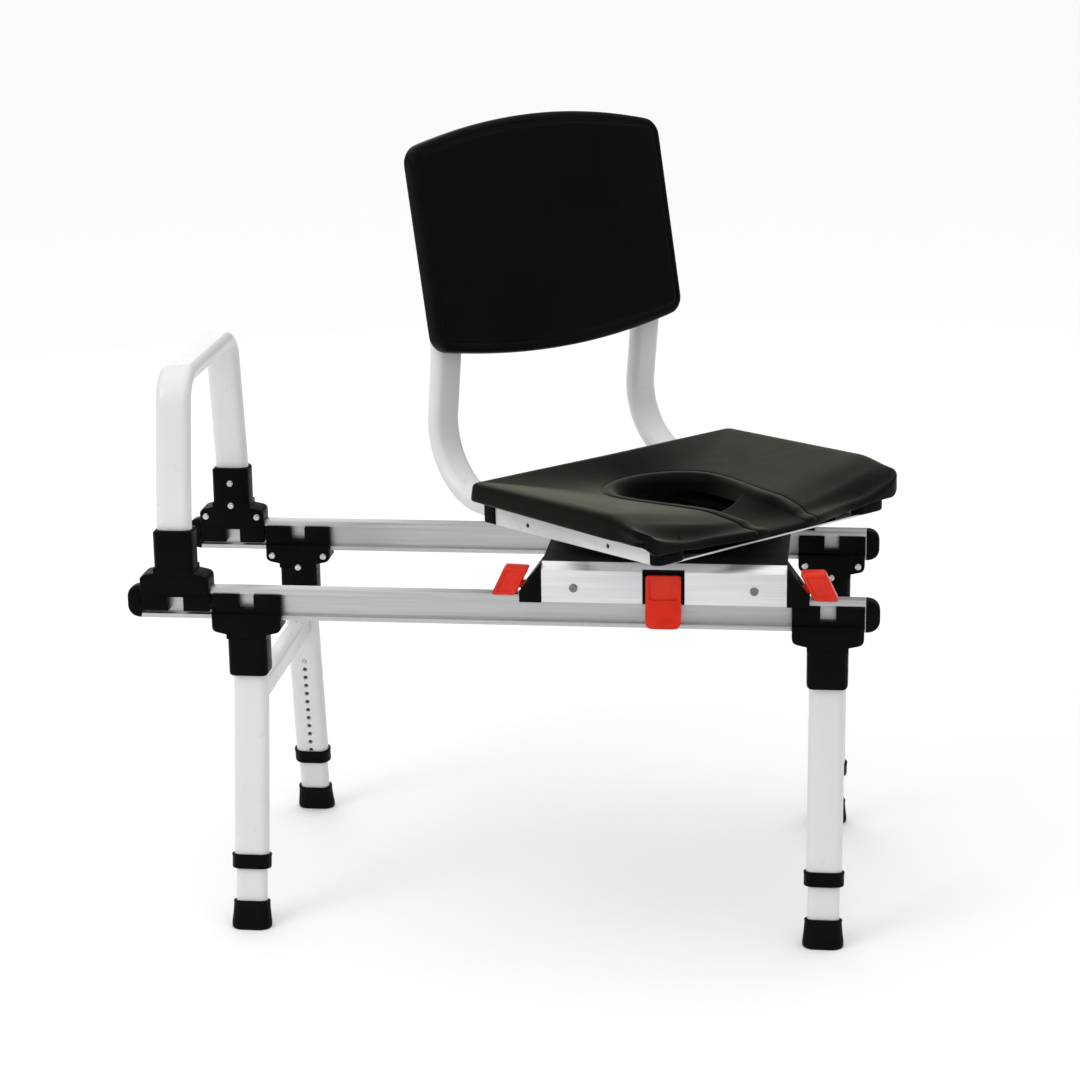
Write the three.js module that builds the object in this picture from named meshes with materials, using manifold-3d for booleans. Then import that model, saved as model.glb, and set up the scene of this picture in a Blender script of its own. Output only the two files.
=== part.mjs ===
// Sliding bath transfer bench with a swivelling commode-cut seat, a padded back and telescopic legs.
// Millimetres, +Z up. X runs along the two slide rails, -Y is the side the user steps up to.
import * as THREE from "three";
import { mergeVertices } from "three/addons/utils/BufferGeometryUtils.js";
import Module from "manifold-3d";

const wasm = await Module();
wasm.setup();

// ---- driving dimensions --------------------------------------------------------------------
const GAP = 0.3; // clearance between touching pieces
const DEG = Math.PI / 180;

// the two slide rails, I-section, along X
const RAIL_LENGTH = 900;
const RAIL_Y = 162; // centre line of each rail
const RAIL_TOP = 433.8;
const RAIL_HEIGHT = 40;
const RAIL_WIDTH = 18.5;
const RAIL_WEB = 5;
const TOP_FLANGE = 7.5;
const BOTTOM_FLANGE = 5.5;
const RAIL_CAP_LENGTH = 17.5;

// bent tube used for the legs, the handle and the back posts: a flat oval
const TUBE_WIDTH = 44.45;
const TUBE_DEPTH = 22.2;
const TUBE_WALL = 2;

// T-shaped brackets that clamp the rails and hold the tubes
const LEG_X = { left: -315.5, right: 405 };
const HANDLE_X = -405;
const BRACKET_WIDTH = 88;
const BRACKET_DEPTH = 36;
const BRACKET_LEDGE = 402; // the cheeks beside the rail are thinner above this height
const CHEEK_DEPTH = 26;
const BRACKET_TOP = 425.9; // just under the rail's top flange
const BRACKET_SHOULDER = 380;
const STEM_WIDTH = 51;
const STEM_BOTTOM = 322;
const STEM_DEPTH = 35;
const TUBE_TOP = 385.5; // the top of a leg tube inside its bracket
const BRACKET_FLIP = 414.75; // a handle bracket is a leg bracket turned over about this height
const WINDOW_WIDTH = 19.3;
const WINDOW_DEPTH = 18;

// legs
const LEG_BEND_Z = 298;
const SPLAY = 10 * DEG;
const COLLAR_BOTTOM_Z = 74.6;
const COLLAR_HEIGHT = 18.5;
const COLLAR_WIDTH = 50.5;
const COLLAR_DEPTH = 28.5;
const INNER_CLEARANCE = 0.4;
const INNER_LEG_TOP = 22; // below the bend, along the leg
const HOLE_PITCH = 12.7;
const HOLE_COUNT = 12;
const HOLE_RADIUS = 3.1;
const FIRST_HOLE = 66; // below the bend, along the leg
const FOOT_HEIGHT = 34;
const BRACE_SIZE = 25.4;
const BRACE_Z = 287;

// grab handle
const HANDLE_TOP_Z = 692; // centre line of the top bar
const HANDLE_BEND_Z = 522;
const HANDLE_BEND_RADIUS = 38;
const HANDLE_LEAN = 10 * DEG;

// carriage that slides on the rails
const CARRIAGE_X = 205;
const CARRIAGE_HALF = 149.7;
const DECK_TOP = 477;
const DECK_THICKNESS = 5.2;
const DECK_HALF_DEPTH = 170.6;
const SIDE_FACE_Y = 180;
const SIDE_BOTTOM = 427.3;
const FLANGE_BOTTOM = 465; // the side plate's flange under the deck
const FLANGE_INNER_Y = 150;
const GUIDE_LENGTH = 27.3;
const GUIDE_BOTTOM = 426.4; // clears the leg brackets
const LEVER_WIDTH = 43.5;
const LEVER_TOP = 466.8;
const LEVER_BOTTOM = 399;

// seat, in a frame that turns about the swivel axis and leans back a little
const SEAT_TURN = 47 * DEG;
const SEAT_PITCH = 1.5 * DEG;
const SEAT_TOP = 553.2;
const PAD_HALF_WIDTH = 226;
const PAD_BACK = 131; // behind the swivel axis
const PAD_FRONT = 205; // ahead of the swivel axis, in the middle
const PAD_SHOULDER = 188; // ahead of the swivel axis, at the front corners
const PAD_EDGE = 26;
const PAD_MIDDLE = 52;
const PAD_SKIRT = 43; // how far the front edge hangs down ahead of the seat rails
const PAD_FRONT_CORNER = 22;
const PAD_REAR_CORNER = 5;
const PAD_REAR_EDGE = 14; // the thin part along the rear edge
const BULB_HALF = 73; // cut-out: the open bulb, then a closed channel to the front edge
const BULB_CENTRE = 12; // behind the swivel axis
const BULB_DEPTH = 60;
const CHANNEL_HALF = 47;
const MOUTH_HALF = 32;
const CHANNEL_START = 62; // ahead of the swivel axis
const SEAT_RAIL_X = 172.5;
const SEAT_RAIL_WIDTH = 48.4;
const SEAT_RAIL_HEIGHT = 31.75;
const SEAT_RAIL_WALL = 1.6;
const SEAT_RAIL_REAR = -119;
const SEAT_RAIL_FRONT = 168;
const SEAT_CAP_LENGTH = 14;
const RAIL_HOLES = [56.5, -93]; // cross holes in the outer wall, along y
const RAIL_HOLE_DROP = 5.5; // below the centre line
const RAIL_HOLE_RADIUS = 3;
const POST_SLEEVE_LENGTH = 21;
const SEAT_RAIL_C = -42.5; // centre line, below the pad's top edge
const PAN_THICKNESS = 2.4;
const PAN_HALF_WIDTH = 171;
const PAN_REAR = 118; // behind the swivel axis
const PAN_FRONT = 175; // ahead of it
const PAN_OPENING = 56; // half the width of the pan's opening
const POST_START = -70;
const POST_BEND_RADIUS = 95;
const POST_BEND_START = -155;
const POST_FORWARD = 8 * DEG;
const POST_KNEE = 150; // height of the post's upper bend above the seat
const POST_TOP = 372;
const BACK_LEAN = 9.9 * DEG;
const BACK_HALF_WIDTH = 211;
const BACK_THICKNESS = 26;
const BACK_CENTRE_HEIGHT = 282.7; // above the seat, at the middle of the front face
const BACK_CENTRE_REACH = -221.1;
const BACK_CORNER_HALF = 128;
const TOP_ARCH = 28;
const BOTTOM_ARCH = 22;

// ---- materials -----------------------------------------------------------------------------
function material(color, roughness, metalness) {
  return new THREE.MeshStandardMaterial({ color, roughness, metalness });
}
const whiteCoat = material(0xe6e6e2, 0.35, 0.1);
const aluminium = material(0xc4c6c8, 0.4, 0.8);
const blackPlastic = material(0x101114, 0.55, 0);
const redPlastic = material(0xd92410, 0.35, 0);
const rubber = material(0x17181a, 0.8, 0);
const foam = material(0x34352f, 0.7, 0);
const steel = material(0x8e9093, 0.35, 0.9);

// ---- solids --------------------------------------------------------------------------------
function solid(geometry) {
  const plain = geometry.clone();
  plain.deleteAttribute("normal");
  plain.deleteAttribute("uv");
  const merged = mergeVertices(plain, 1e-4);
  return new wasm.Manifold(
    new wasm.Mesh({
      numProp: 3,
      vertProperties: new Float32Array(merged.attributes.position.array),
      triVerts: new Uint32Array(merged.index.array),
    }),
  );
}

function geometryOf(body) {
  const mesh = body.getMesh();
  const geometry = new THREE.BufferGeometry();
  geometry.setAttribute("position", new THREE.BufferAttribute(mesh.vertProperties, mesh.numProp));
  geometry.setIndex(new THREE.BufferAttribute(mesh.triVerts, 1));
  geometry.computeVertexNormals();
  return geometry;
}

// A box given by its lowest and highest corners.
function block(x0, x1, y0, y1, z0, z1) {
  const box = new THREE.BoxGeometry(x1 - x0, y1 - y0, z1 - z0);
  return solid(box.translate((x0 + x1) / 2, (y0 + y1) / 2, (z0 + z1) / 2));
}

function extrude(shape, depth, curveSegments = 3) {
  return new THREE.ExtrudeGeometry(shape, { depth, bevelEnabled: false, curveSegments });
}

// Outlines drawn in one plane and pulled along the third axis.
function alongX(shape, x0, x1, curveSegments) {
  const turn = new THREE.Matrix4().makeBasis(
    new THREE.Vector3(0, 1, 0),
    new THREE.Vector3(0, 0, 1),
    new THREE.Vector3(1, 0, 0),
  );
  return extrude(shape, x1 - x0, curveSegments).applyMatrix4(turn).translate(x0, 0, 0);
}

function alongY(shape, y0, y1, curveSegments) {
  return extrude(shape, y1 - y0, curveSegments).rotateX(90 * DEG).translate(0, y1, 0);
}

function alongZ(shape, z0, z1, curveSegments) {
  return extrude(shape, z1 - z0, curveSegments).translate(0, 0, z0);
}

// A closed outline through points [x, y] or [x, y, r], where r rounds that corner.
function outline(points) {
  const shape = new THREE.Shape();
  const count = points.length;
  points.forEach(([x, y, r = 0], i) => {
    const here = new THREE.Vector2(x, y);
    const before = new THREE.Vector2(...points[(i + count - 1) % count].slice(0, 2));
    const after = new THREE.Vector2(...points[(i + 1) % count].slice(0, 2));
    const start = before.sub(here).setLength(r).add(here);
    const end = after.sub(here).setLength(r).add(here);
    if (i === 0) shape.moveTo(start.x, start.y);
    else shape.lineTo(start.x, start.y);
    if (r > 0) shape.quadraticCurveTo(x, y, end.x, end.y);
  });
  shape.closePath();
  return shape;
}

function roundedRectangle(x0, x1, y0, y1, r) {
  return outline([
    [x0, y0, r],
    [x1, y0, r],
    [x1, y1, r],
    [x0, y1, r],
  ]);
}

// The flat oval of the tubes: straight sides and half-round ends.
function oval(width, depth, Kind = THREE.Shape) {
  const r = depth / 2;
  const half = width / 2 - r;
  const shape = new Kind();
  shape.moveTo(-half, -r);
  shape.lineTo(half, -r);
  shape.absarc(half, 0, r, -90 * DEG, 90 * DEG, false);
  shape.lineTo(-half, r);
  shape.absarc(-half, 0, r, 90 * DEG, 270 * DEG, false);
  return shape;
}

function ovalRing(width, depth, boreWidth, boreDepth) {
  const shape = oval(width, depth);
  shape.holes.push(oval(boreWidth, boreDepth, THREE.Path));
  return shape;
}

function tubeRing() {
  return ovalRing(
    TUBE_WIDTH,
    TUBE_DEPTH,
    TUBE_WIDTH - 2 * TUBE_WALL,
    TUBE_DEPTH - 2 * TUBE_WALL,
  );
}

// A route in a Y-Z plane with a section at each of its own points only, so straight stretches stay
// plain. The section's own x stays along the bench's X, and its y lies across the tube.
class Route extends THREE.Curve {
  constructor(points) {
    super();
    this.points = points;
  }
  getPointAt(u) {
    return this.points[Math.round(u * (this.points.length - 1))].clone();
  }
  getPoint(u) {
    return this.getPointAt(u);
  }
  computeFrenetFrames(segments) {
    const across = new THREE.Vector3(1, 0, 0);
    const frames = { tangents: [], normals: [], binormals: [] };
    for (let i = 0; i <= segments; i++) {
      const before = this.points[Math.max(i - 1, 0)];
      const here = this.points[i];
      const after = this.points[Math.min(i + 1, segments)];
      const tangent = here.clone().sub(before).normalize();
      tangent.add(after.clone().sub(here).normalize()).normalize();
      frames.tangents.push(tangent);
      frames.normals.push(across);
      frames.binormals.push(tangent.clone().cross(across));
    }
    return frames;
  }
}

function bentTube(points) {
  const extrudePath = new Route(points);
  return new THREE.ExtrudeGeometry(tubeRing(), {
    extrudePath,
    steps: points.length - 1,
    curveSegments: 3,
  });
}

// Points in the Y-Z plane through corners [y, z, radius], each bend as an arc of that radius.
function bendPoints(corners, stepAngle = 15 * DEG) {
  const at = corners.map(([y, z]) => new THREE.Vector2(y, z));
  const points = [at[0]];
  for (let i = 1; i < corners.length - 1; i++) {
    const into = at[i].clone().sub(at[i - 1]).normalize();
    const out = at[i + 1].clone().sub(at[i]).normalize();
    const turn = Math.atan2(into.cross(out), into.dot(out));
    const radius = corners[i][2];
    const start = at[i].clone().addScaledVector(into, -radius * Math.tan(Math.abs(turn) / 2));
    const side = new THREE.Vector2(-into.y, into.x).multiplyScalar(Math.sign(turn));
    const centre = start.clone().addScaledVector(side, radius);
    const steps = Math.max(2, Math.ceil(Math.abs(turn) / stepAngle));
    for (let k = 0; k <= steps; k++) {
      points.push(start.clone().rotateAround(centre, (turn * k) / steps));
    }
  }
  points.push(at[at.length - 1]);
  return points.map((p) => new THREE.Vector3(0, p.x, p.y));
}

// ---- the assembly --------------------------------------------------------------------------
const bench = new THREE.Group();

function add(parent, name, shape, finish) {
  const geometry = shape.isBufferGeometry ? shape : geometryOf(shape);
  const mesh = new THREE.Mesh(geometry, finish);
  mesh.name = name;
  parent.add(mesh);
  return mesh;
}

// ---- slide rails ---------------------------------------------------------------------------
// The I-section about its own centre line, grown all round by an optional clearance.
function railSection(clearance = 0) {
  const half = RAIL_WIDTH / 2 + clearance;
  const web = RAIL_WEB / 2 + clearance;
  const top = RAIL_TOP + clearance;
  const bottom = RAIL_TOP - RAIL_HEIGHT - clearance;
  const underTop = RAIL_TOP - TOP_FLANGE - clearance;
  const overBottom = RAIL_TOP - RAIL_HEIGHT + BOTTOM_FLANGE + clearance;
  return outline([
    [-half, bottom],
    [half, bottom],
    [half, overBottom],
    [web, overBottom],
    [web, underTop],
    [half, underTop],
    [half, top],
    [-half, top],
    [-half, underTop],
    [-web, underTop],
    [-web, overBottom],
    [-half, overBottom],
  ]);
}

function railCap(side) {
  const depth = RAIL_WIDTH + 2.5;
  const bottom = RAIL_TOP - RAIL_HEIGHT - 0.8;
  const top = RAIL_TOP + 0.8;
  const start = RAIL_LENGTH / 2 + GAP;
  const dome = outline([
    [start, bottom],
    [start + RAIL_CAP_LENGTH, bottom, 15],
    [start + RAIL_CAP_LENGTH, top, 15],
    [start, top],
  ]);
  const cap = alongY(dome, -depth / 2, depth / 2);
  return side < 0 ? cap.rotateZ(Math.PI) : cap;
}

for (const [row, side] of [["front", -1], ["rear", 1]]) {
  const place = new THREE.Group();
  place.position.y = side * RAIL_Y;
  bench.add(place);
  add(place, `${row}_rail`, alongX(railSection(), -RAIL_LENGTH / 2, RAIL_LENGTH / 2), aluminium);
  add(place, `${row}_rail_cap_left`, railCap(-1), blackPlastic);
  add(place, `${row}_rail_cap_right`, railCap(1), blackPlastic);
}

// ---- T brackets ----------------------------------------------------------------------------
// About the rail's centre line: two cheeks beside the rail, a floor across it and a socket for the tube.
function bracket(turnedOver) {
  const half = BRACKET_WIDTH / 2;
  const stem = STEM_WIDTH / 2;
  const front = outline([
    [-half, BRACKET_TOP, 3],
    [-half, BRACKET_SHOULDER, 7],
    [-stem, BRACKET_SHOULDER - 4],
    [-stem, STEM_BOTTOM, 6],
    [stem, STEM_BOTTOM, 6],
    [stem, BRACKET_SHOULDER - 4],
    [half, BRACKET_SHOULDER, 7],
    [half, BRACKET_TOP, 3],
  ]);
  const plan = roundedRectangle(-half, half, -BRACKET_DEPTH / 2, BRACKET_DEPTH / 2, 4);
  const stemPlan = roundedRectangle(-stem, stem, -STEM_DEPTH / 2, STEM_DEPTH / 2, 10);
  const rounded = solid(alongZ(plan, BRACKET_SHOULDER - 10, BRACKET_TOP + 1)).add(
    solid(alongZ(stemPlan, STEM_BOTTOM - 1, BRACKET_SHOULDER)),
  );
  const reach = BRACKET_DEPTH;
  const window = [-WINDOW_WIDTH / 2, WINDOW_WIDTH / 2, -reach, reach];
  const socket = oval(TUBE_WIDTH + 2 * GAP, TUBE_DEPTH + 2 * GAP);
  const spare = (BRACKET_DEPTH - CHEEK_DEPTH) / 2;
  const ledge = block(-half - 1, half + 1, -spare, spare, BRACKET_LEDGE, BRACKET_TOP + 5);
  const body = solid(alongY(front, -reach, reach))
    .intersect(rounded)
    .subtract(ledge.translate(0, -BRACKET_DEPTH / 2, 0))
    .subtract(ledge.translate(0, BRACKET_DEPTH / 2, 0))
    .subtract(block(...window, BRACKET_TOP - WINDOW_DEPTH, BRACKET_TOP + 5))
    .subtract(solid(alongZ(socket, STEM_BOTTOM - 2, TUBE_TOP + 1)));
  const upright = geometryOf(body);
  if (turnedOver) upright.rotateX(Math.PI).translate(0, 0, 2 * BRACKET_FLIP);
  return geometryOf(
    solid(upright).subtract(solid(alongX(railSection(GAP), -half - 1, half + 1))),
  );
}

const legBracketShape = bracket(false);
const handleBracketShape = bracket(true);

// ---- legs ----------------------------------------------------------------------------------
// One leg stands under the rear rail and splays towards +Y; a front leg is the same leg turned about Z.
// Distances along the splayed part are measured down from the bend.
const collarTop = (LEG_BEND_Z - COLLAR_BOTTOM_Z - COLLAR_HEIGHT) / Math.cos(SPLAY);
const outerEnd = collarTop + COLLAR_HEIGHT - 4;
const legEnd = LEG_BEND_Z / Math.cos(SPLAY) - 9;

function legFrame() {
  const frame = new THREE.Group();
  frame.position.z = LEG_BEND_Z;
  frame.rotation.x = Math.PI + SPLAY;
  return frame;
}

function outerLeg() {
  const reach = outerEnd;
  const knee = 14;
  const end = [Math.sin(SPLAY) * reach, LEG_BEND_Z - Math.cos(SPLAY) * reach];
  const points = bendPoints([[0, TUBE_TOP], [0, LEG_BEND_Z, knee / Math.tan(SPLAY / 2)], end]);
  const tube = solid(bentTube(points));
  const drill = new THREE.CylinderGeometry(HOLE_RADIUS, HOLE_RADIUS, TUBE_DEPTH, 6);
  let drilled = tube;
  for (let i = 0; i < HOLE_COUNT; i++) {
    const down = FIRST_HOLE + i * HOLE_PITCH;
    const hole = drill
      .clone()
      .translate(0, -TUBE_DEPTH / 2, -down)
      .rotateX(SPLAY)
      .translate(0, 0, LEG_BEND_Z);
    drilled = drilled.subtract(solid(hole));
  }
  return drilled;
}

const innerWidth = TUBE_WIDTH - 2 * TUBE_WALL - 2 * INNER_CLEARANCE;
const innerDepth = TUBE_DEPTH - 2 * TUBE_WALL - 2 * INNER_CLEARANCE;
const buttonRadius = HOLE_RADIUS - 0.5;

// Pieces below are drawn along the leg, +Z down the leg from the bend, +Y towards the inner face.
function innerLeg() {
  const ring = ovalRing(innerWidth, innerDepth, innerWidth - 3.6, innerDepth - 3.6);
  const hole = new THREE.CylinderGeometry(HOLE_RADIUS, HOLE_RADIUS, innerDepth, 8);
  hole.translate(0, innerDepth / 2, FIRST_HOLE);
  return solid(alongZ(ring, INNER_LEG_TOP, legEnd)).subtract(solid(hole));
}

function snapButton() {
  const profile = [
    new THREE.Vector2(0, -2.6),
    new THREE.Vector2(buttonRadius, -2.6),
    new THREE.Vector2(buttonRadius, -0.9),
    new THREE.Vector2(buttonRadius * 0.6, 0),
    new THREE.Vector2(0, 0.1),
  ];
  return new THREE.LatheGeometry(profile, 10).translate(0, innerDepth / 2, FIRST_HOLE);
}

function collar() {
  const bottom = collarTop + COLLAR_HEIGHT;
  const sleeve = solid(alongZ(oval(COLLAR_WIDTH, COLLAR_DEPTH), collarTop, bottom));
  const seat = oval(TUBE_WIDTH + 2 * GAP, TUBE_DEPTH + 2 * GAP);
  const way = oval(innerWidth + 0.8, innerDepth + 0.8);
  return sleeve
    .subtract(solid(alongZ(seat, collarTop - 1, outerEnd + GAP)))
    .subtract(solid(alongZ(way, collarTop - 1, bottom + 1)));
}

function foot() {
  const top = (LEG_BEND_Z - FOOT_HEIGHT) / Math.cos(SPLAY);
  const end = LEG_BEND_Z / Math.cos(SPLAY) + 12;
  const rim = solid(alongZ(oval(COLLAR_WIDTH, COLLAR_DEPTH), top, top + 5));
  const body = solid(alongZ(oval(COLLAR_WIDTH - 2, COLLAR_DEPTH - 2), top + 4, end - 26));
  const sole = solid(alongZ(oval(COLLAR_WIDTH + 1, COLLAR_DEPTH + 1), end - 27, end));
  const socket = oval(innerWidth + 2 * GAP, innerDepth + 2 * GAP);
  const below = solid(
    new THREE.BoxGeometry(200, 200, 60)
      .translate(0, 0, 30)
      .rotateX(-SPLAY)
      .translate(0, 0, LEG_BEND_Z / Math.cos(SPLAY)),
  );
  return rim
    .add(body)
    .add(sole)
    .subtract(solid(alongZ(socket, top - 1, legEnd + GAP)))
    .subtract(below);
}

const legShapes = {
  outer: geometryOf(outerLeg()),
  inner: geometryOf(innerLeg()),
  button: snapButton(),
  collar: geometryOf(collar()),
  foot: geometryOf(foot()),
};

for (const [row, side] of [["front", -1], ["rear", 1]]) {
  for (const [end, x] of Object.entries(LEG_X)) {
    const place = new THREE.Group();
    place.position.set(x, side * RAIL_Y, 0);
    place.rotation.z = side < 0 ? Math.PI : 0;
    bench.add(place);
    const name = `${row}_${end}`;
    add(place, `${name}_leg_bracket`, legBracketShape, blackPlastic);
    add(place, `${name}_outer_leg`, legShapes.outer, whiteCoat);
    const along = legFrame();
    place.add(along);
    add(along, `${name}_leg_collar`, legShapes.collar, blackPlastic);
    add(along, `${name}_inner_leg`, legShapes.inner, whiteCoat);
    add(along, `${name}_snap_button`, legShapes.button, steel);
    add(along, `${name}_foot`, legShapes.foot, rubber);
  }
}

// cross braces between the front and rear legs
const legInnerFace = RAIL_Y - TUBE_DEPTH / 2;
for (const [end, x] of Object.entries(LEG_X)) {
  const half = BRACE_SIZE / 2;
  const section = roundedRectangle(-half, half, -half, half, 5);
  const bar = alongY(section, -legInnerFace + GAP, legInnerFace - GAP, 3);
  add(bench, `${end}_cross_brace`, bar.translate(x, 0, BRACE_Z), whiteCoat);
}

// ---- grab handle ---------------------------------------------------------------------------
for (const [row, side] of [["front", -1], ["rear", 1]]) {
  const bracket = add(bench, `${row}_handle_bracket`, handleBracketShape, blackPlastic);
  bracket.position.set(HANDLE_X, side * RAIL_Y, 0);
}
const handleFoot = 2 * BRACKET_FLIP - TUBE_TOP;
const handleCorner = RAIL_Y - Math.tan(HANDLE_LEAN) * (HANDLE_TOP_Z - HANDLE_BEND_Z);
const handlePoints = bendPoints([
  [-RAIL_Y, handleFoot],
  [-RAIL_Y, HANDLE_BEND_Z, 120],
  [-handleCorner, HANDLE_TOP_Z, HANDLE_BEND_RADIUS],
  [handleCorner, HANDLE_TOP_Z, HANDLE_BEND_RADIUS],
  [RAIL_Y, HANDLE_BEND_Z, 120],
  [RAIL_Y, handleFoot],
]);
add(bench, "grab_handle", bentTube(handlePoints), whiteCoat).position.x = HANDLE_X;

// ---- carriage ------------------------------------------------------------------------------
const carriage = new THREE.Group();
carriage.position.x = CARRIAGE_X;
bench.add(carriage);

// Side plate: an angle section with a sloped shoulder, drawn as [y, z] for the front side.
function sidePlate() {
  const inner = -SIDE_FACE_Y + 5.4;
  const deckEdge = -DECK_HALF_DEPTH - 0.4;
  const underDeck = DECK_TOP - DECK_THICKNESS - GAP;
  const section = outline([
    [-SIDE_FACE_Y, SIDE_BOTTOM],
    [inner, SIDE_BOTTOM],
    [inner, FLANGE_BOTTOM],
    [-FLANGE_INNER_Y, FLANGE_BOTTOM],
    [-FLANGE_INNER_Y, underDeck],
    [deckEdge, underDeck],
    [deckEdge, DECK_TOP],
    [-SIDE_FACE_Y, DECK_TOP - 9],
  ]);
  return solid(alongX(section, -CARRIAGE_HALF, CARRIAGE_HALF));
}

const bezelHalf = 25.5;
const bezelTop = 470;
const bezelCut = block(
  -bezelHalf - GAP,
  bezelHalf + GAP,
  -SIDE_FACE_Y - 5,
  -SIDE_FACE_Y + 5.5,
  SIDE_BOTTOM - 1,
  bezelTop + GAP,
);
add(carriage, "front_side_plate", sidePlate().subtract(bezelCut), aluminium);
add(carriage, "rear_side_plate", sidePlate(), aluminium).rotation.z = Math.PI;
add(
  carriage,
  "carriage_deck",
  alongZ(
    roundedRectangle(-CARRIAGE_HALF, CARRIAGE_HALF, -DECK_HALF_DEPTH, DECK_HALF_DEPTH, 3),
    DECK_TOP - DECK_THICKNESS,
    DECK_TOP,
  ),
  aluminium,
);

// Black end guides: a sloped nose outside the plates and a pad that rides on the rail.
const noseSlot = { y0: -174.2, y1: -163.8 };
const leverPivot = { x: -CARRIAGE_HALF - 19, z: 447 };
function endGuide(withSlot) {
  const start = -CARRIAGE_HALF - GAP;
  const tip = start - GUIDE_LENGTH;
  const nose = outline([
    [start, GUIDE_BOTTOM],
    [start, DECK_TOP],
    [tip, 439.5],
    [tip, GUIDE_BOTTOM],
  ]);
  const railRoom = block(tip - 1, start + 60, -171.7, -140, 420, RAIL_TOP + GAP);
  let guide = solid(alongY(nose, -SIDE_FACE_Y - 0.6, -150))
    .add(block(start - 5, start + 45, -171, -153, RAIL_TOP + GAP, FLANGE_BOTTOM - 0.4))
    .subtract(railRoom);
  if (withSlot) {
    guide = guide.subtract(block(tip - 1, tip + 15, noseSlot.y0, noseSlot.y1, 425, 460));
  }
  return guide;
}

function mirroredX(geometry) {
  const copy = geometry.clone().scale(-1, 1, 1);
  const index = copy.index.array;
  for (let i = 0; i < index.length; i += 3) {
    [index[i + 1], index[i + 2]] = [index[i + 2], index[i + 1]];
  }
  copy.computeVertexNormals();
  return copy;
}

const slottedGuide = geometryOf(endGuide(true));
const plainGuide = geometryOf(endGuide(false));
add(carriage, "front_left_guide", slottedGuide, blackPlastic);
add(carriage, "front_right_guide", mirroredX(slottedGuide), blackPlastic);
add(carriage, "rear_right_guide", plainGuide, blackPlastic).rotation.z = Math.PI;
add(carriage, "rear_left_guide", mirroredX(plainGuide), blackPlastic).rotation.z = Math.PI;

// Red slide locks: slanted thumb blocks whose tongue turns in the guide's slot.
function slideLock() {
  const tongueTip = leverPivot.x + 4.5;
  const thumb = outline([
    [-195.5, 469.6, 2],
    [-212.3, 434.2, 2],
    [-182.8, 434.2, 2],
    [-165.2, 468.4, 2],
  ]);
  const tongue = outline([
    [-185, leverPivot.z - 4.5],
    [tongueTip, leverPivot.z - 4.5, 4],
    [tongueTip, leverPivot.z + 4.5, 4],
    [-185, leverPivot.z + 4.5],
  ]);
  return solid(alongY(thumb, -179.5, -157.5)).add(
    solid(alongY(tongue, noseSlot.y0 + 0.6, noseSlot.y1 - 0.6)),
  );
}
const slideLockShape = geometryOf(slideLock());
add(carriage, "left_slide_lock", slideLockShape, redPlastic);
add(carriage, "right_slide_lock", mirroredX(slideLockShape), redPlastic);

// Black pocket in the front plate and the red lever that hangs in it.
function leverPocket() {
  const inner = LEVER_WIDTH / 2 + 0.5;
  const floorY = -SIDE_FACE_Y + 4.8;
  return block(-bezelHalf, bezelHalf, -SIDE_FACE_Y - 1, floorY + 0.1, SIDE_BOTTOM - 0.3, bezelTop)
    .add(block(-bezelHalf, bezelHalf, floorY, floorY + 3, SIDE_BOTTOM - 0.3, FLANGE_BOTTOM - 0.4))
    .subtract(block(-inner, inner, -SIDE_FACE_Y - 2, floorY, SIDE_BOTTOM - 1, LEVER_TOP));
}
add(carriage, "swivel_lock_pocket", leverPocket(), blackPlastic);

function swivelLever() {
  const half = LEVER_WIDTH / 2;
  const face = outline([
    [-half, LEVER_BOTTOM, 9],
    [half, LEVER_BOTTOM, 9],
    [half, LEVER_TOP - 3, 4],
    [-half, LEVER_TOP - 3, 4],
  ]);
  const profile = outline([
    [-182, LEVER_TOP],
    [-184.5, 430],
    [-193, LEVER_BOTTOM - 1],
    [-187, LEVER_BOTTOM - 1],
    [-176, 431],
    [-176, LEVER_TOP],
  ]);
  const panel = roundedRectangle(-half + 4.5, half - 4.5, 433, LEVER_TOP - 8, 4);
  return solid(alongY(face, -200, -170))
    .intersect(solid(alongX(profile, -half - 1, half + 1)))
    .subtract(solid(alongY(panel, -200, -181.7)));
}
add(carriage, "swivel_lock_lever", swivelLever(), redPlastic);

// ---- turntable -----------------------------------------------------------------------------
const seatAxis = new THREE.Group();
seatAxis.position.x = CARRIAGE_X;
seatAxis.rotation.z = SEAT_TURN;
bench.add(seatAxis);

function ring(inner, outer, z0, z1) {
  const profile = [
    new THREE.Vector2(inner, z0),
    new THREE.Vector2(outer, z0),
    new THREE.Vector2(outer, z1),
    new THREE.Vector2(inner, z1),
    new THREE.Vector2(inner, z0),
  ];
  return new THREE.LatheGeometry(profile, 40).rotateX(90 * DEG);
}

// The seat leans back about the swivel axis, so its frame is tipped by SEAT_PITCH.
const tip = new THREE.Matrix4()
  .makeTranslation(0, 0, SEAT_TOP)
  .multiply(new THREE.Matrix4().makeRotationX(-SEAT_PITCH));
const panTop = SEAT_RAIL_C - SEAT_RAIL_HEIGHT / 2 - GAP;
const panBottom = panTop - PAN_THICKNESS;
const aboveRing = solid(
  new THREE.BoxGeometry(400, 400, 60).translate(0, 0, panBottom - GAP + 30).applyMatrix4(tip),
);
const ringMiddle = DECK_TOP + 7;
add(carriage, "turntable_base", ring(62, 118, DECK_TOP + GAP, ringMiddle), blackPlastic);
add(
  seatAxis,
  "turntable_top",
  solid(ring(62, 112, ringMiddle + GAP, SEAT_TOP - 50)).subtract(aboveRing),
  blackPlastic,
);

// ---- seat ----------------------------------------------------------------------------------
// Local frame: x to the seat's side, -y ahead of the swivel axis, z up from the pad's top edge.
const seat = new THREE.Group();
seat.applyMatrix4(tip);
seatAxis.add(seat);

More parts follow.
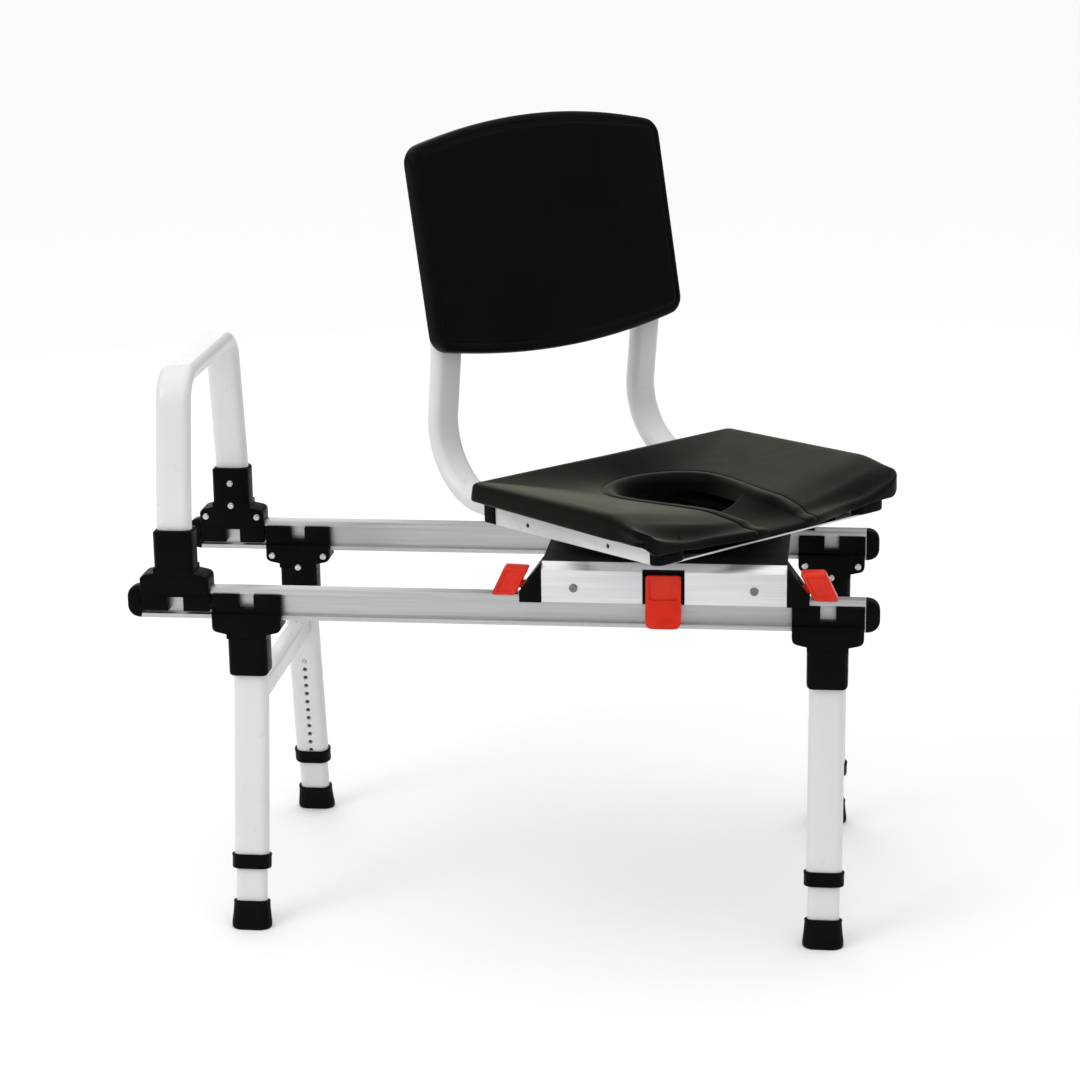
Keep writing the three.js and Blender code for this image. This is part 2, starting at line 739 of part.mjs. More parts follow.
// Keyhole of the commode cut-out: an open bulb and a channel that runs out through the front.
function cutOut() {
  const waist = -110;
  const front = -PAD_FRONT - 20;
  const shape = new THREE.Shape();
  shape.moveTo(MOUTH_HALF, front);
  shape.lineTo(CHANNEL_HALF, waist);
  shape.quadraticCurveTo(BULB_HALF, waist / 2, BULB_HALF, BULB_CENTRE);
  shape.absellipse(0, BULB_CENTRE, BULB_HALF, BULB_DEPTH, 0, Math.PI, false, 0);
  shape.quadraticCurveTo(-BULB_HALF, waist / 2, -CHANNEL_HALF, waist);
  shape.lineTo(-MOUTH_HALF, front);
  shape.closePath();
  const channelFloor = outline([
    [-CHANNEL_START, -PAD_MIDDLE - 20],
    [-CHANNEL_START, 1.5 - PAD_MIDDLE],
    [-130, 3 - PAD_MIDDLE],
    [-PAD_FRONT, 11 - PAD_MIDDLE],
    [front - 5, 11 - PAD_MIDDLE],
    [front - 5, -PAD_MIDDLE - 20],
  ]);
  return solid(alongZ(shape, -PAD_MIDDLE - 10, 30, 8)).subtract(
    solid(alongX(channelFloor, -BULB_HALF - 5, BULB_HALF + 5)),
  );
}

// The front edge bows forward between the shoulders, and two hollows dish the top.
function seatCushion() {
  const w = PAD_HALF_WIDTH;
  const shoulder = 125; // where the front edge starts to bow
  const bow = 45; // and where it levels out again
  const plan = outline([
    [-w, PAD_BACK, PAD_REAR_CORNER],
    [-w, -PAD_SHOULDER, PAD_FRONT_CORNER],
    [-shoulder, -PAD_SHOULDER, 20],
    [-bow, -PAD_FRONT, 20],
    [bow, -PAD_FRONT, 20],
    [shoulder, -PAD_SHOULDER, 20],
    [w, -PAD_SHOULDER, PAD_FRONT_CORNER],
    [w, PAD_BACK, PAD_REAR_CORNER],
  ]);
  const ball = new THREE.SphereGeometry(1, 28, 16);
  const dish = solid(ball.clone().scale(200, 210, 24).translate(0, -50, 2));
  const frontDip = solid(ball.clone().scale(245, 150, 41).translate(0, -260, 2));
  const below = -PAD_MIDDLE - 5;
  const rearStep = block(-w - 5, w + 5, PAD_BACK - PAD_REAR_EDGE, PAD_BACK + 5, below, -PAD_EDGE);
  let pad = solid(alongZ(plan, -PAD_MIDDLE, 0, 4))
    .subtract(rearStep)
    .subtract(dish)
    .subtract(frontDip)
    .subtract(cutOut());
  // room for the seat rails and their caps, and the skirt ahead of them
  const railRoom = SEAT_RAIL_X - SEAT_RAIL_WIDTH / 2 - 4;
  const skirtBack = -PAD_SHOULDER + 4;
  for (const [x0, x1] of [[-w - 5, -railRoom], [railRoom, w + 5]]) {
    pad = pad
      .subtract(block(x0, x1, skirtBack, PAD_BACK + 5, below, -PAD_EDGE))
      .subtract(block(x0, x1, -PAD_FRONT, PAD_BACK + 5, below, -PAD_SKIRT));
  }
  return pad;
}
add(seat, "seat_cushion", seatCushion(), foam);

// Seat pan: a thin plate under the seat rails, open below the cut-out.
const panPlan = roundedRectangle(-PAN_HALF_WIDTH, PAN_HALF_WIDTH, -PAN_FRONT, PAN_REAR, 8);
const pan = solid(alongZ(panPlan, panBottom, panTop)).subtract(
  block(-PAN_OPENING, PAN_OPENING, -CHANNEL_START, PAN_OPENING, panBottom - 1, panTop + 1),
);
add(seat, "seat_pan", pan, aluminium);

// Seat side rails, with two cross holes through the outer wall.
function seatRail() {
  const w = SEAT_RAIL_WIDTH / 2;
  const h = SEAT_RAIL_HEIGHT / 2;
  const section = roundedRectangle(-w, w, -h, h, 2);
  section.holes.push(
    roundedRectangle(
      -w + SEAT_RAIL_WALL,
      w - SEAT_RAIL_WALL,
      -h + SEAT_RAIL_WALL,
      h - SEAT_RAIL_WALL,
      1.5,
    ),
  );
  const tube = solid(alongY(section, -SEAT_RAIL_FRONT, -SEAT_RAIL_REAR, 2));
  const drill = new THREE.CylinderGeometry(RAIL_HOLE_RADIUS, RAIL_HOLE_RADIUS, 12, 10);
  drill.rotateZ(90 * DEG).translate(w, 0, -RAIL_HOLE_DROP);
  let drilled = tube;
  for (const y of RAIL_HOLES) {
    drilled = drilled.subtract(solid(drill.clone().translate(0, y, 0)));
  }
  return drilled;
}

function seatRailCap() {
  const w = SEAT_RAIL_WIDTH / 2 + 0.6;
  const h = SEAT_RAIL_HEIGHT / 2 + 0.2;
  const start = -SEAT_RAIL_FRONT - GAP;
  const plan = outline([
    [-w, start],
    [-w, start - SEAT_CAP_LENGTH, 12],
    [w, start - SEAT_CAP_LENGTH, 12],
    [w, start],
  ]);
  return alongZ(plan, -h, h);
}

function postSleeve() {
  const w = SEAT_RAIL_WIDTH / 2 + 1.5;
  const h = SEAT_RAIL_HEIGHT / 2;
  const start = -SEAT_RAIL_REAR + GAP;
  const whole = solid(
    alongY(roundedRectangle(-w, w, -h, h, 4), start, -SEAT_RAIL_REAR + POST_SLEEVE_LENGTH),
  );
  const bore = oval(TUBE_WIDTH + 2 * GAP, TUBE_DEPTH + 2 * GAP);
  return whole.subtract(solid(alongY(bore, 80, 170)));
}

// Back post: level inside the seat rail, then up, a little forward, and back along the backrest.
function backPost() {
  const bendY = -POST_BEND_START + POST_BEND_RADIUS; // where the level line meets the forward-leaning one
  const rise = POST_KNEE - SEAT_RAIL_C;
  const cornerY = bendY + POST_BEND_RADIUS * (Math.tan((90 * DEG + POST_FORWARD) / 2) - 1);
  const kneeY = cornerY - Math.tan(POST_FORWARD) * rise;
  const topY = kneeY + Math.tan(BACK_LEAN) * (POST_TOP - POST_KNEE);
  const points = bendPoints([
    [-POST_START, SEAT_RAIL_C],
    [cornerY, SEAT_RAIL_C, POST_BEND_RADIUS],
    [kneeY, POST_KNEE, 110],
    [topY, POST_TOP],
  ]);
  return bentTube(points);
}

const shapes = {
  rail: geometryOf(seatRail()),
  cap: seatRailCap(),
  sleeve: geometryOf(postSleeve()),
  post: backPost(),
};
for (const [side, sign] of [["left", -1], ["right", 1]]) {
  const place = new THREE.Group();
  place.position.x = sign * SEAT_RAIL_X;
  seat.add(place);
  const along = new THREE.Group();
  along.position.z = SEAT_RAIL_C;
  place.add(along);
  const rail = sign < 0 ? mirroredX(shapes.rail) : shapes.rail;
  add(along, `${side}_seat_rail`, rail, whiteCoat);
  add(along, `${side}_seat_rail_cap`, shapes.cap, blackPlastic);
  add(along, `${side}_post_sleeve`, shapes.sleeve, blackPlastic);
  add(place, `${side}_back_post`, shapes.post, whiteCoat);
}

// Backrest pad: straight sides, arched top and bottom edges, drawn as [x, height] on its own face.
function backrest() {
  const w = BACK_HALF_WIDTH;
  const h = BACK_CORNER_HALF;
  const r = 22;
  const shape = new THREE.Shape();
  shape.moveTo(-w, -h + r);
  shape.quadraticCurveTo(-w, -h, -w + r, -h - 2);
  shape.quadraticCurveTo(0, -h - 2 * BOTTOM_ARCH, w - r, -h - 2);
  shape.quadraticCurveTo(w, -h, w, -h + r);
  shape.lineTo(w, h - r);
  shape.quadraticCurveTo(w, h, w - r, h + 2);
  shape.quadraticCurveTo(0, h + 2 * TOP_ARCH, -w + r, h + 2);
  shape.quadraticCurveTo(-w, h, -w, h - r);
  shape.closePath();
  return alongY(shape, 0, BACK_THICKNESS, 8)
    .rotateX(-BACK_LEAN)
    .translate(0, -BACK_CENTRE_REACH, BACK_CENTRE_HEIGHT);
}
add(seat, "backrest", backrest(), foam);

// ---- origin: centre of the footprint, on the floor -----------------------------------------
const bounds = new THREE.Box3().setFromObject(bench, true);
const centre = bounds.getCenter(new THREE.Vector3());
bench.position.set(-centre.x, -centre.y, -bounds.min.z);

export default bench;
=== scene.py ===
"""Sliding bath transfer bench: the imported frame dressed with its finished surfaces."""
import math

import bmesh
import bpy
from mathutils import Matrix, Vector


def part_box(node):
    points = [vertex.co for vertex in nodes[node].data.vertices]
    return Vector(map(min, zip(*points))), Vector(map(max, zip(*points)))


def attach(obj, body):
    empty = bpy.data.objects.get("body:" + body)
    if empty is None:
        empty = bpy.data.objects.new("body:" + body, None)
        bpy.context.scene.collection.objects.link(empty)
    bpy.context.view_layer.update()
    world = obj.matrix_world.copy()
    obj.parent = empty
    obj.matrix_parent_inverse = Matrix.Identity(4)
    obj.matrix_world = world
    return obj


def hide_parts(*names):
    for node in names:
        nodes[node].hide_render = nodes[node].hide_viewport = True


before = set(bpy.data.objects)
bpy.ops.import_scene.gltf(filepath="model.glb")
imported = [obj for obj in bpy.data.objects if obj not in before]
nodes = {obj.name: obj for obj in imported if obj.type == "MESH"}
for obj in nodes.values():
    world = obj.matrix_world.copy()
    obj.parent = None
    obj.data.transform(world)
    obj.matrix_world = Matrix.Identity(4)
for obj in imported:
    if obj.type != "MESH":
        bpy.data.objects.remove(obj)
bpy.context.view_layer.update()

MM = 0.001


# ---- where things are ------------------------------------------------------------------------
def middle(node):
    low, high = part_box(node)
    return (low + high) / 2


RAIL_MIDDLE_X = middle("front_rail").x
CENTRE_Y = (middle("front_rail").y + middle("rear_rail").y) / 2
RAIL_Y = (middle("rear_rail").y - middle("front_rail").y) / 2
SWIVEL_X = middle("turntable_base").x
ROWS = {"front": -1, "rear": 1}
ENDS = {"left": middle("front_left_outer_leg").x, "right": middle("front_right_outer_leg").x}
HANDLE_X = middle("grab_handle").x
HANDLE_LEAN = math.radians(10)

TUBE_WIDTH = 44.45 * MM
TUBE_DEPTH = 22.2 * MM
TUBE_WALL = 2.0 * MM
INNER_WIDTH = 39.65 * MM
INNER_DEPTH = 17.4 * MM
INNER_WALL = 1.8 * MM
LEG_TOP = 385.5 * MM
LEG_BEND = 298 * MM
SPLAY = math.radians(10)
LEG_BEND_RADIUS = 140 * MM
HOLE_PITCH = 12.7 * MM
HOLE_COUNT = 12
FIRST_HOLE = 66 * MM
HOLE_RADIUS = 3.1 * MM
COLLAR_TOP = (LEG_BEND - (74.6 + 18.5) * MM) / math.cos(SPLAY)  # along the splayed leg
COLLAR_HEIGHT = 18.5 * MM
FLOOR_ALONG_LEG = LEG_BEND / math.cos(SPLAY)

SEAT_TURN = math.radians(47)
SEAT_PITCH = math.radians(1.5)
SEAT_TOP = 553.2 * MM
SEAT = (
    Matrix.Translation((SWIVEL_X, CENTRE_Y, SEAT_TOP))
    @ Matrix.Rotation(SEAT_TURN, 4, "Z")
    @ Matrix.Rotation(-SEAT_PITCH, 4, "X")
)
SEAT_RAIL_X = 172.5 * MM
SEAT_RAIL_C = -42.5 * MM


# ---- materials -------------------------------------------------------------------------------
class Finish:
    """A node material being built: Principled shader, object coordinates and helpers."""

    def __init__(self, name, color, roughness, metallic=0.0, **sockets):
        self.material = bpy.data.materials.new(name)
        self.material.use_nodes = True
        self.tree = self.material.node_tree
        self.shader = self.tree.nodes["Principled BSDF"]
        self.shader.inputs["Base Color"].default_value = (*color, 1)
        self.shader.inputs["Roughness"].default_value = roughness
        self.shader.inputs["Metallic"].default_value = metallic
        for socket, value in sockets.items():
            self.shader.inputs[socket.replace("_", " ")].default_value = value
        self.color = color
        self.roughness = roughness
        self.coords = self.tree.nodes.new("ShaderNodeTexCoord").outputs["Object"]
        self.height = None

    def node(self, kind, **values):
        made = self.tree.nodes.new(kind)
        for key, value in values.items():
            if hasattr(made, key):
                setattr(made, key, value)
            else:
                made.inputs[key.replace("_", " ")].default_value = value
        return made

    def stretched(self, scale):
        mapping = self.node("ShaderNodeMapping")
        mapping.inputs["Scale"].default_value = scale
        self.tree.links.new(self.coords, mapping.inputs["Vector"])
        return mapping.outputs["Vector"]

    def noise(self, scale, detail=3.0, stretch=(1, 1, 1), roughness=0.5):
        made = self.node("ShaderNodeTexNoise", Scale=scale, Detail=detail, Roughness=roughness)
        self.tree.links.new(self.stretched(stretch), made.inputs["Vector"])
        return made.outputs["Fac"]

    def cells(self, scale, feature="F1"):
        made = self.node("ShaderNodeTexVoronoi", Scale=scale)
        made.feature = feature
        self.tree.links.new(self.stretched((1, 1, 1)), made.inputs["Vector"])
        return made.outputs["Distance"]

    def remap(self, value, low, high, to_low, to_high):
        made = self.node("ShaderNodeMapRange")
        made.inputs["From Min"].default_value = low
        made.inputs["From Max"].default_value = high
        made.inputs["To Min"].default_value = to_low
        made.inputs["To Max"].default_value = to_high
        self.tree.links.new(value, made.inputs["Value"])
        return made.outputs["Result"]

    def vary_color(self, value, other, low=0.35, high=0.65):
        mix = self.node("ShaderNodeMix", data_type="RGBA")
        # 0, 6, 7 and output 2 are the factor and the colour sockets of the mix
        mix.inputs[6].default_value = (*self.color, 1)
        mix.inputs[7].default_value = (*other, 1)
        self.tree.links.new(self.remap(value, low, high, 0, 1), mix.inputs[0])
        self.tree.links.new(mix.outputs[2], self.shader.inputs["Base Color"])

    def vary_roughness(self, value, spread):
        ranged = self.remap(value, 0.3, 0.7, self.roughness - spread, self.roughness + spread)
        self.tree.links.new(ranged, self.shader.inputs["Roughness"])

    def bump(self, value, distance, strength=1.0):
        made = self.node("ShaderNodeBump", Distance=distance, Strength=strength)
        self.tree.links.new(value, made.inputs["Height"])
        if self.height is not None:
            self.tree.links.new(self.height, made.inputs["Normal"])
        self.height = made.outputs["Normal"]
        self.tree.links.new(self.height, self.shader.inputs["Normal"])


def white_coat():
    f = Finish("white_powder_coat", (0.73, 0.73, 0.715), 0.32, Coat_Weight=0.15, Coat_Roughness=0.2)
    f.vary_color(f.noise(9, 2), (0.70, 0.70, 0.68))
    f.vary_roughness(f.noise(60, 3), 0.05)
    f.bump(f.noise(900, 2), 0.00006, 0.5)
    return f.material


def aluminium(name, level):
    f = Finish(name, (level, level, level * 1.015), 0.36, 0.75)
    lines = f.noise(420, 3, (0.02, 1, 1))
    f.vary_color(lines, (level * 0.92, level * 0.92, level * 0.94), 0.3, 0.7)
    f.vary_roughness(lines, 0.07)
    f.bump(lines, 0.00003, 0.4)
    return f.material


# Painted shade and painted reflection: the metal deck is coloured near-black all over to stand in for the
# seat's shadow and the dark underside it mirrors. Only the brushed lines are the deck's own.
def shade_painted_deck():
    f = Finish("deck_plate_painted_shade", (0.02, 0.02, 0.019), 0.42, 0.0, Specular_IOR_Level=0.1)
    lines = f.noise(300, 3, (0.03, 1, 1))
    f.vary_color(lines, (0.013, 0.013, 0.013), 0.3, 0.7)
    f.vary_roughness(f.noise(40, 3), 0.06)
    f.bump(lines, 0.00003, 0.4)
    return f.material


def black_plastic():
    f = Finish("black_moulded_plastic", (0.0018, 0.0018, 0.0022), 0.4, Specular_IOR_Level=0.04)
    f.vary_color(f.noise(14, 3), (0.003, 0.003, 0.0035))
    f.vary_roughness(f.noise(120, 3), 0.08)
    f.bump(f.cells(1500), 0.00007, 0.5)
    return f.material


def red_plastic():
    f = Finish("red_moulded_plastic", (0.70, 0.024, 0.004), 0.36, Specular_IOR_Level=0.25)
    f.vary_color(f.noise(35, 2), (0.60, 0.016, 0.003))
    f.vary_roughness(f.noise(150, 3), 0.05)
    f.bump(f.noise(700, 2), 0.00005, 0.4)
    return f.material


def foot_rubber():
    f = Finish("black_rubber", (0.0028, 0.0028, 0.0032), 0.5, Specular_IOR_Level=0.05)
    f.vary_color(f.noise(30, 4), (0.0045, 0.0045, 0.0045))
    f.vary_roughness(f.noise(90, 3), 0.08)
    f.bump(f.noise(1100, 3), 0.00012, 0.6)
    return f.material


def pad_skin(name, color, other, roughness, sheen):
    f = Finish(name, color, roughness, Specular_IOR_Level=0.04, Sheen_Weight=sheen, Sheen_Roughness=0.35)
    f.shader.inputs["Sheen Tint"].default_value = (1.0, 0.99, 0.76, 1)
    f.vary_color(f.noise(7, 4), other)
    f.vary_roughness(f.noise(45, 3), 0.05)
    f.bump(f.cells(850), 0.00016, 0.45)
    f.bump(f.noise(2400, 2), 0.00006, 0.5)
    return f.material


def liner_sheet():
    f = Finish("black_liner", (0.0018, 0.0018, 0.002), 0.8, Specular_IOR_Level=0.02)
    f.vary_color(f.noise(20, 2), (0.0026, 0.0026, 0.003))
    f.vary_roughness(f.noise(90, 3), 0.06)
    return f.material


def bright_steel():
    f = Finish("bright_steel", (0.62, 0.62, 0.62), 0.3, 1.0)
    f.vary_roughness(f.noise(200, 3), 0.08)
    f.bump(f.noise(1500, 2, (1, 1, 0.1)), 0.00003, 0.4)
    return f.material


def dark_steel():
    f = Finish("dark_screw_steel", (0.20, 0.20, 0.20), 0.35, 0.9)
    f.vary_roughness(f.noise(200, 3), 0.08)
    f.bump(f.noise(1200, 2), 0.00003, 0.4)
    return f.material


WHITE = white_coat()
ALUMINIUM = aluminium("satin_aluminium", 0.72)
RAIL_ALUMINIUM = aluminium("rail_aluminium", 0.5)
DECK = shade_painted_deck()
BLACK = black_plastic()
RED = red_plastic()
RUBBER = foot_rubber()
LINER = liner_sheet()
SEAT_PAD = pad_skin("seat_pad_skin", (0.0022, 0.0022, 0.0017), (0.0032, 0.0032, 0.0025), 0.42, 0.36)
# Painted shade: a copy of the seat's skin with far less sheen, so the channel floor reads darker as if
# shaded by the pad around it.
SHADED_CHANNEL_PAD = pad_skin("seat_channel_skin_painted_shade", (0.0035, 0.0035, 0.0026), (0.0048, 0.0048, 0.0036), 0.5, 0.12)
BACK_PAD = pad_skin("back_pad_skin", (0.0028, 0.0028, 0.003), (0.004, 0.004, 0.0042), 0.4, 0.01)
STEEL = bright_steel()
SCREW = dark_steel()


# ---- mesh helpers ----------------------------------------------------------------------------
def finish_mesh(mesh, sharp_angle):
    for polygon in mesh.polygons:
        polygon.use_smooth = True
    mesh.set_sharp_from_angle(angle=math.radians(sharp_angle))


def placed(name, data):
    """A new object with this data, linked into the scene."""
    made = bpy.data.objects.new(name, data)
    bpy.context.scene.collection.objects.link(made)
    return made


def mesh_object(name, bm):
    """A new object from a bmesh, which is freed."""
    mesh = bpy.data.meshes.new(name)
    bm.to_mesh(mesh)
    bm.free()
    return placed(name, mesh)


def piece(name, bm, material, body, bevel=0.0, sharp_angle=35):
    """A finished object from a bmesh in the bench's frame, riding on a body."""
    bmesh.ops.recalc_face_normals(bm, faces=bm.faces)
    made = mesh_object(name, bm)
    finish_mesh(made.data, sharp_angle)
    made.data.materials.append(material)
    if bevel:
        add_bevel(made, bevel)
    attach(made, body)
    return made


def add_bevel(made, width, angle=32):
    bevel = made.modifiers.new("edges", "BEVEL")
    bevel.width = width
    bevel.segments = 3
    bevel.limit_method = "ANGLE"
    bevel.angle_limit = math.radians(angle)
    bevel.harden_normals = True
    bevel.use_clamp_overlap = True


def subdivide(made):
    surface = made.modifiers.new("surface", "SUBSURF")
    surface.levels = 1
    surface.render_levels = 1


def join(bm, a, b):
    """A band of faces between two closed loops of vertices."""
    count = len(a)
    for i in range(count):
        j = (i + 1) % count
        bm.faces.new((a[i], a[j], b[j], b[i]))


def loft(bm, loops, close_start=True, close_end=True):
    """Skins closed loops of equal length, one after another; returns the vertex rings."""
    rings = [[bm.verts.new(p) for p in loop] for loop in loops]
    for a, b in zip(rings, rings[1:]):
        join(bm, a, b)
    if close_start:
        bm.faces.new(list(reversed(rings[0])))
    if close_end:
        bm.faces.new(rings[-1])
    return rings


def loft_round(bm, loops):
    """Loops skinned one after another, and the last joined to the first."""
    rings = loft(bm, loops, False, False)
    join(bm, rings[-1], rings[0])


def circle(radius, z, segments):
    angles = [2 * math.pi * k / segments for k in range(segments)]
    return [Vector((radius * math.cos(a), radius * math.sin(a), z)) for a in angles]


def oval(width, depth, steps=14):
    """The flat oval section as (x, y), half-round at both ends."""
    r = depth / 2
    half = width / 2 - r
    points = []
    for side in (1, -1):
        for k in range(steps + 1):
            angle = math.radians(-90 + 180 * k / steps)
            points.append((side * (half + r * math.cos(angle)), side * r * math.sin(angle)))
    return points


def oval_loop(width, depth, z):
    return [Vector((x, y, z)) for x, y in oval(width, depth)]


def rounded_box(width, depth, radius, steps=5):
    points = []
    for cx, cy, start in ((1, -1, -90), (1, 1, 0), (-1, 1, 90), (-1, -1, 180)):
        for k in range(steps + 1):
            angle = math.radians(start + 90 * k / steps)
            x = cx * (width / 2 - radius) + radius * math.cos(angle)
            y = cy * (depth / 2 - radius) + radius * math.sin(angle)
            points.append((x, y))
    return points


def smooth(t):
    t = min(max(t, 0.0), 1.0)
    return t * t * (3 - 2 * t)


def bend_route(corners, step=math.radians(4)):
    """Points (y, z) through corners (y, z, radius), each bend as an arc."""
    at = [Vector(c[:2]) for c in corners]
    points = [at[0]]
    for i in range(1, len(at) - 1):
        before = (at[i] - at[i - 1]).normalized()
        after = (at[i + 1] - at[i]).normalized()
        turn = math.atan2(before.x * after.y - before.y * after.x, before.dot(after))
        radius = corners[i][2]
        start = at[i] - before * radius * math.tan(abs(turn) / 2)
        side = Vector((-before.y, before.x)) * math.copysign(1, turn)
        centre = start + side * radius
        steps = max(2, math.ceil(abs(turn) / step))
        for k in range(steps + 1):
            spin = Matrix.Rotation(turn * k / steps, 2)
            points.append(centre + spin @ (start - centre))
    points.append(at[-1])
    return points


def tube_loops(route, width, depth):
    """Sections of a flat oval along a route in the Y-Z plane; the wide side lies along X."""
    loops = []
    for i, here in enumerate(route):
        before = route[max(i - 1, 0)]
        after = route[min(i + 1, len(route) - 1)]
        tangent = Vector((0, 0))
        if i > 0:
            tangent += (here - before).normalized()
        if i < len(route) - 1:
            tangent += (after - here).normalized()
        tangent.normalize()
        normal = Vector((-tangent.y, tangent.x))
        loops.append([Vector((x, *(here + normal * y))) for x, y in oval(width, depth)])
    return loops


def hollow_tube(bm, route):
    """The bench's own oval tube along a route."""
    outer = tube_loops(route, TUBE_WIDTH, TUBE_DEPTH)
    inner = tube_loops(route, TUBE_WIDTH - 2 * TUBE_WALL, TUBE_DEPTH - 2 * TUBE_WALL)
    loft_round(bm, outer + list(reversed(inner)))


def shifted(bm, matrix):
    bmesh.ops.transform(bm, matrix=matrix, verts=bm.verts)
    return bm


def cut(target, cutter):
    """Takes the cutter out of the target's mesh for good and removes the cutter."""
    boolean = target.modifiers.new("cut", "BOOLEAN")
    boolean.operation = "DIFFERENCE"
    boolean.solver = "EXACT"
    boolean.object = cutter
    bpy.context.view_layer.update()
    graph = bpy.context.evaluated_depsgraph_get()
    mesh = bpy.data.meshes.new_from_object(target.evaluated_get(graph))
    target.modifiers.remove(boolean)
    bpy.data.objects.remove(cutter)
    return mesh


# ---- camera, floor and light -----------------------------------------------------------------
FOCAL_PIXELS_PER_FRAME = 2765.6 / 1080
SENSOR = 36.0
YAW = math.radians(6.78)
PITCH = math.radians(15.39)
ROLL = math.radians(-0.75)
EYE = Vector((437.9, -3404.7, 1399.7)) * MM


def camera():
    data = bpy.data.cameras.new("view")
    data.sensor_width = SENSOR
    data.lens = SENSOR * FOCAL_PIXELS_PER_FRAME
    data.clip_end = 100
    made = placed("view", data)
    place = Matrix.Translation(EYE + Vector((RAIL_MIDDLE_X, CENTRE_Y, 0)))
    turn = Matrix.Rotation(YAW, 4, "Z") @ Matrix.Rotation(math.pi / 2 - PITCH, 4, "X")
    made.matrix_world = place @ turn @ Matrix.Rotation(ROLL, 4, "Z")
    bpy.context.scene.camera = made


def studio():
    world = bpy.data.worlds.new("studio")
    bpy.context.scene.world = world
    world.use_nodes = True
    tree = world.node_tree
    background = tree.nodes["Background"]
    background.inputs["Color"].default_value = (1, 1, 1, 1)
    direction = tree.nodes.new("ShaderNodeTexCoord").outputs["Generated"]
    split = tree.nodes.new("ShaderNodeSeparateXYZ")
    rise = tree.nodes.new("ShaderNodeMapRange")
    for name, number in (("From Min", 0.12), ("From Max", 0.95), ("To Min", 0.1), ("To Max", 1.55)):
        rise.inputs[name].default_value = number
    seen = tree.nodes.new("ShaderNodeLightPath").outputs["Is Camera Ray"]
    choose = tree.nodes.new("ShaderNodeMix")
    choose.inputs["B"].default_value = 1.0
    tree.links.new(direction, split.inputs["Vector"])
    tree.links.new(split.outputs["Z"], rise.inputs["Value"])
    tree.links.new(rise.outputs["Result"], choose.inputs["A"])
    tree.links.new(seen, choose.inputs["Factor"])
    tree.links.new(choose.outputs["Result"], background.inputs["Strength"])
    bm = bmesh.new()
    bmesh.ops.create_grid(bm, x_segments=2, y_segments=2, size=40)
    floor = mesh_object("floor", bm)
    paint = Finish("pale_floor", (0.93, 0.93, 0.93), 0.9)
    paint.vary_roughness(paint.noise(3, 2), 0.03)
    floor.data.materials.append(paint.material)
    lights = (
        ("key_light", (-2.4, -2.4, 2.4), 1.6, 30),
        ("front_light", (0.6, -3.8, 2.6), 1.2, 6),
        ("back_light", (-1.5, 2.9, 1.4), 1.6, 9),
    )
    for name, place, size, power in lights:
        data = bpy.data.lights.new(name, "AREA")
        data.size = size
        data.energy = power
        made = placed(name, data)
        made.location = place
        towards = Vector((0, 0, 0.4)) - Vector(place)
        made.rotation_euler = towards.to_track_quat("-Z", "Y").to_euler()
    bpy.context.scene.view_settings.view_transform = "Standard"


# ---- CAD nodes that stay: a finish and softened edges ------------------------------------------
def keep(node, material, width):
    made = nodes[node]
    made.data.materials.clear()
    made.data.materials.append(material)
    for polygon in made.data.polygons:
        polygon.use_smooth = True
        polygon.material_index = 0
    weld = made.modifiers.new("weld", "WELD")
    weld.merge_threshold = 0.00002
    flat = made.modifiers.new("flat", "DECIMATE")
    flat.decimate_type = "DISSOLVE"
    flat.angle_limit = math.radians(2)
    add_bevel(made, width, 30)


def kept_nodes():
    for row in ROWS:
        keep(f"{row}_rail", RAIL_ALUMINIUM, 0.5 * MM)
        keep(f"{row}_side_plate", ALUMINIUM, 0.7 * MM)
        keep(f"{row}_handle_bracket", BLACK, 1.0 * MM)
        for end in ENDS:
            keep(f"{row}_{end}_leg_bracket", BLACK, 1.0 * MM)
            keep(f"{row}_{end}_guide", BLACK, 0.8 * MM)
    # The deck's near-black colour is painted shade from the seat above it.
    keep("carriage_deck", DECK, 0.5 * MM)
    keep("seat_pan", ALUMINIUM, 0.3 * MM)
    keep("swivel_lock_pocket", BLACK, 0.5 * MM)
    keep("swivel_lock_lever", RED, 0.9 * MM)
    for side in ("left", "right"):
        keep(f"{side}_seat_rail", WHITE, 0.5 * MM)
        keep(f"{side}_post_sleeve", BLACK, 0.8 * MM)
    for end in ENDS:
        keep(f"{end}_cross_brace", WHITE, 0.3 * MM)


# ---- legs --------------------------------------------------------------------------------------
def leg_place(row, end):
    turn = Matrix.Rotation(math.pi if row == "front" else 0, 4, "Z")
    return Matrix.Translation((ENDS[end], CENTRE_Y + ROWS[row] * RAIL_Y, 0)) @ turn


def along_leg():
    """Frame of the splayed part: +Z down the leg from the bend, +Y towards the inner face."""
    return Matrix.Translation((0, 0, LEG_BEND)) @ Matrix.Rotation(math.pi + SPLAY, 4, "X")


def drilled(bm, radius, place):
    """The bmesh as a mesh with the row of adjusting holes cut through its inner face."""
    bmesh.ops.recalc_face_normals(bm, faces=bm.faces)
    blank = mesh_object("tube_blank", bm)
    bm = bmesh.new()
    for i in range(HOLE_COUNT):
        hole = bmesh.new()
        loft(hole, [circle(radius, z, 20) for z in (TUBE_DEPTH * 0.2, TUBE_DEPTH)])
        down = Matrix.Translation((0, 0, FIRST_HOLE + i * HOLE_PITCH))
        shifted(hole, place @ down @ Matrix.Rotation(-math.pi / 2, 4, "X"))
        bmesh.ops.recalc_face_normals(hole, faces=hole.faces)
        part = bpy.data.meshes.new("hole")
        hole.to_mesh(part)
        hole.free()
        bm.from_mesh(part)
        bpy.data.meshes.remove(part)
    made = cut(blank, mesh_object("cutter", bm))
    bpy.data.objects.remove(blank)
    return made


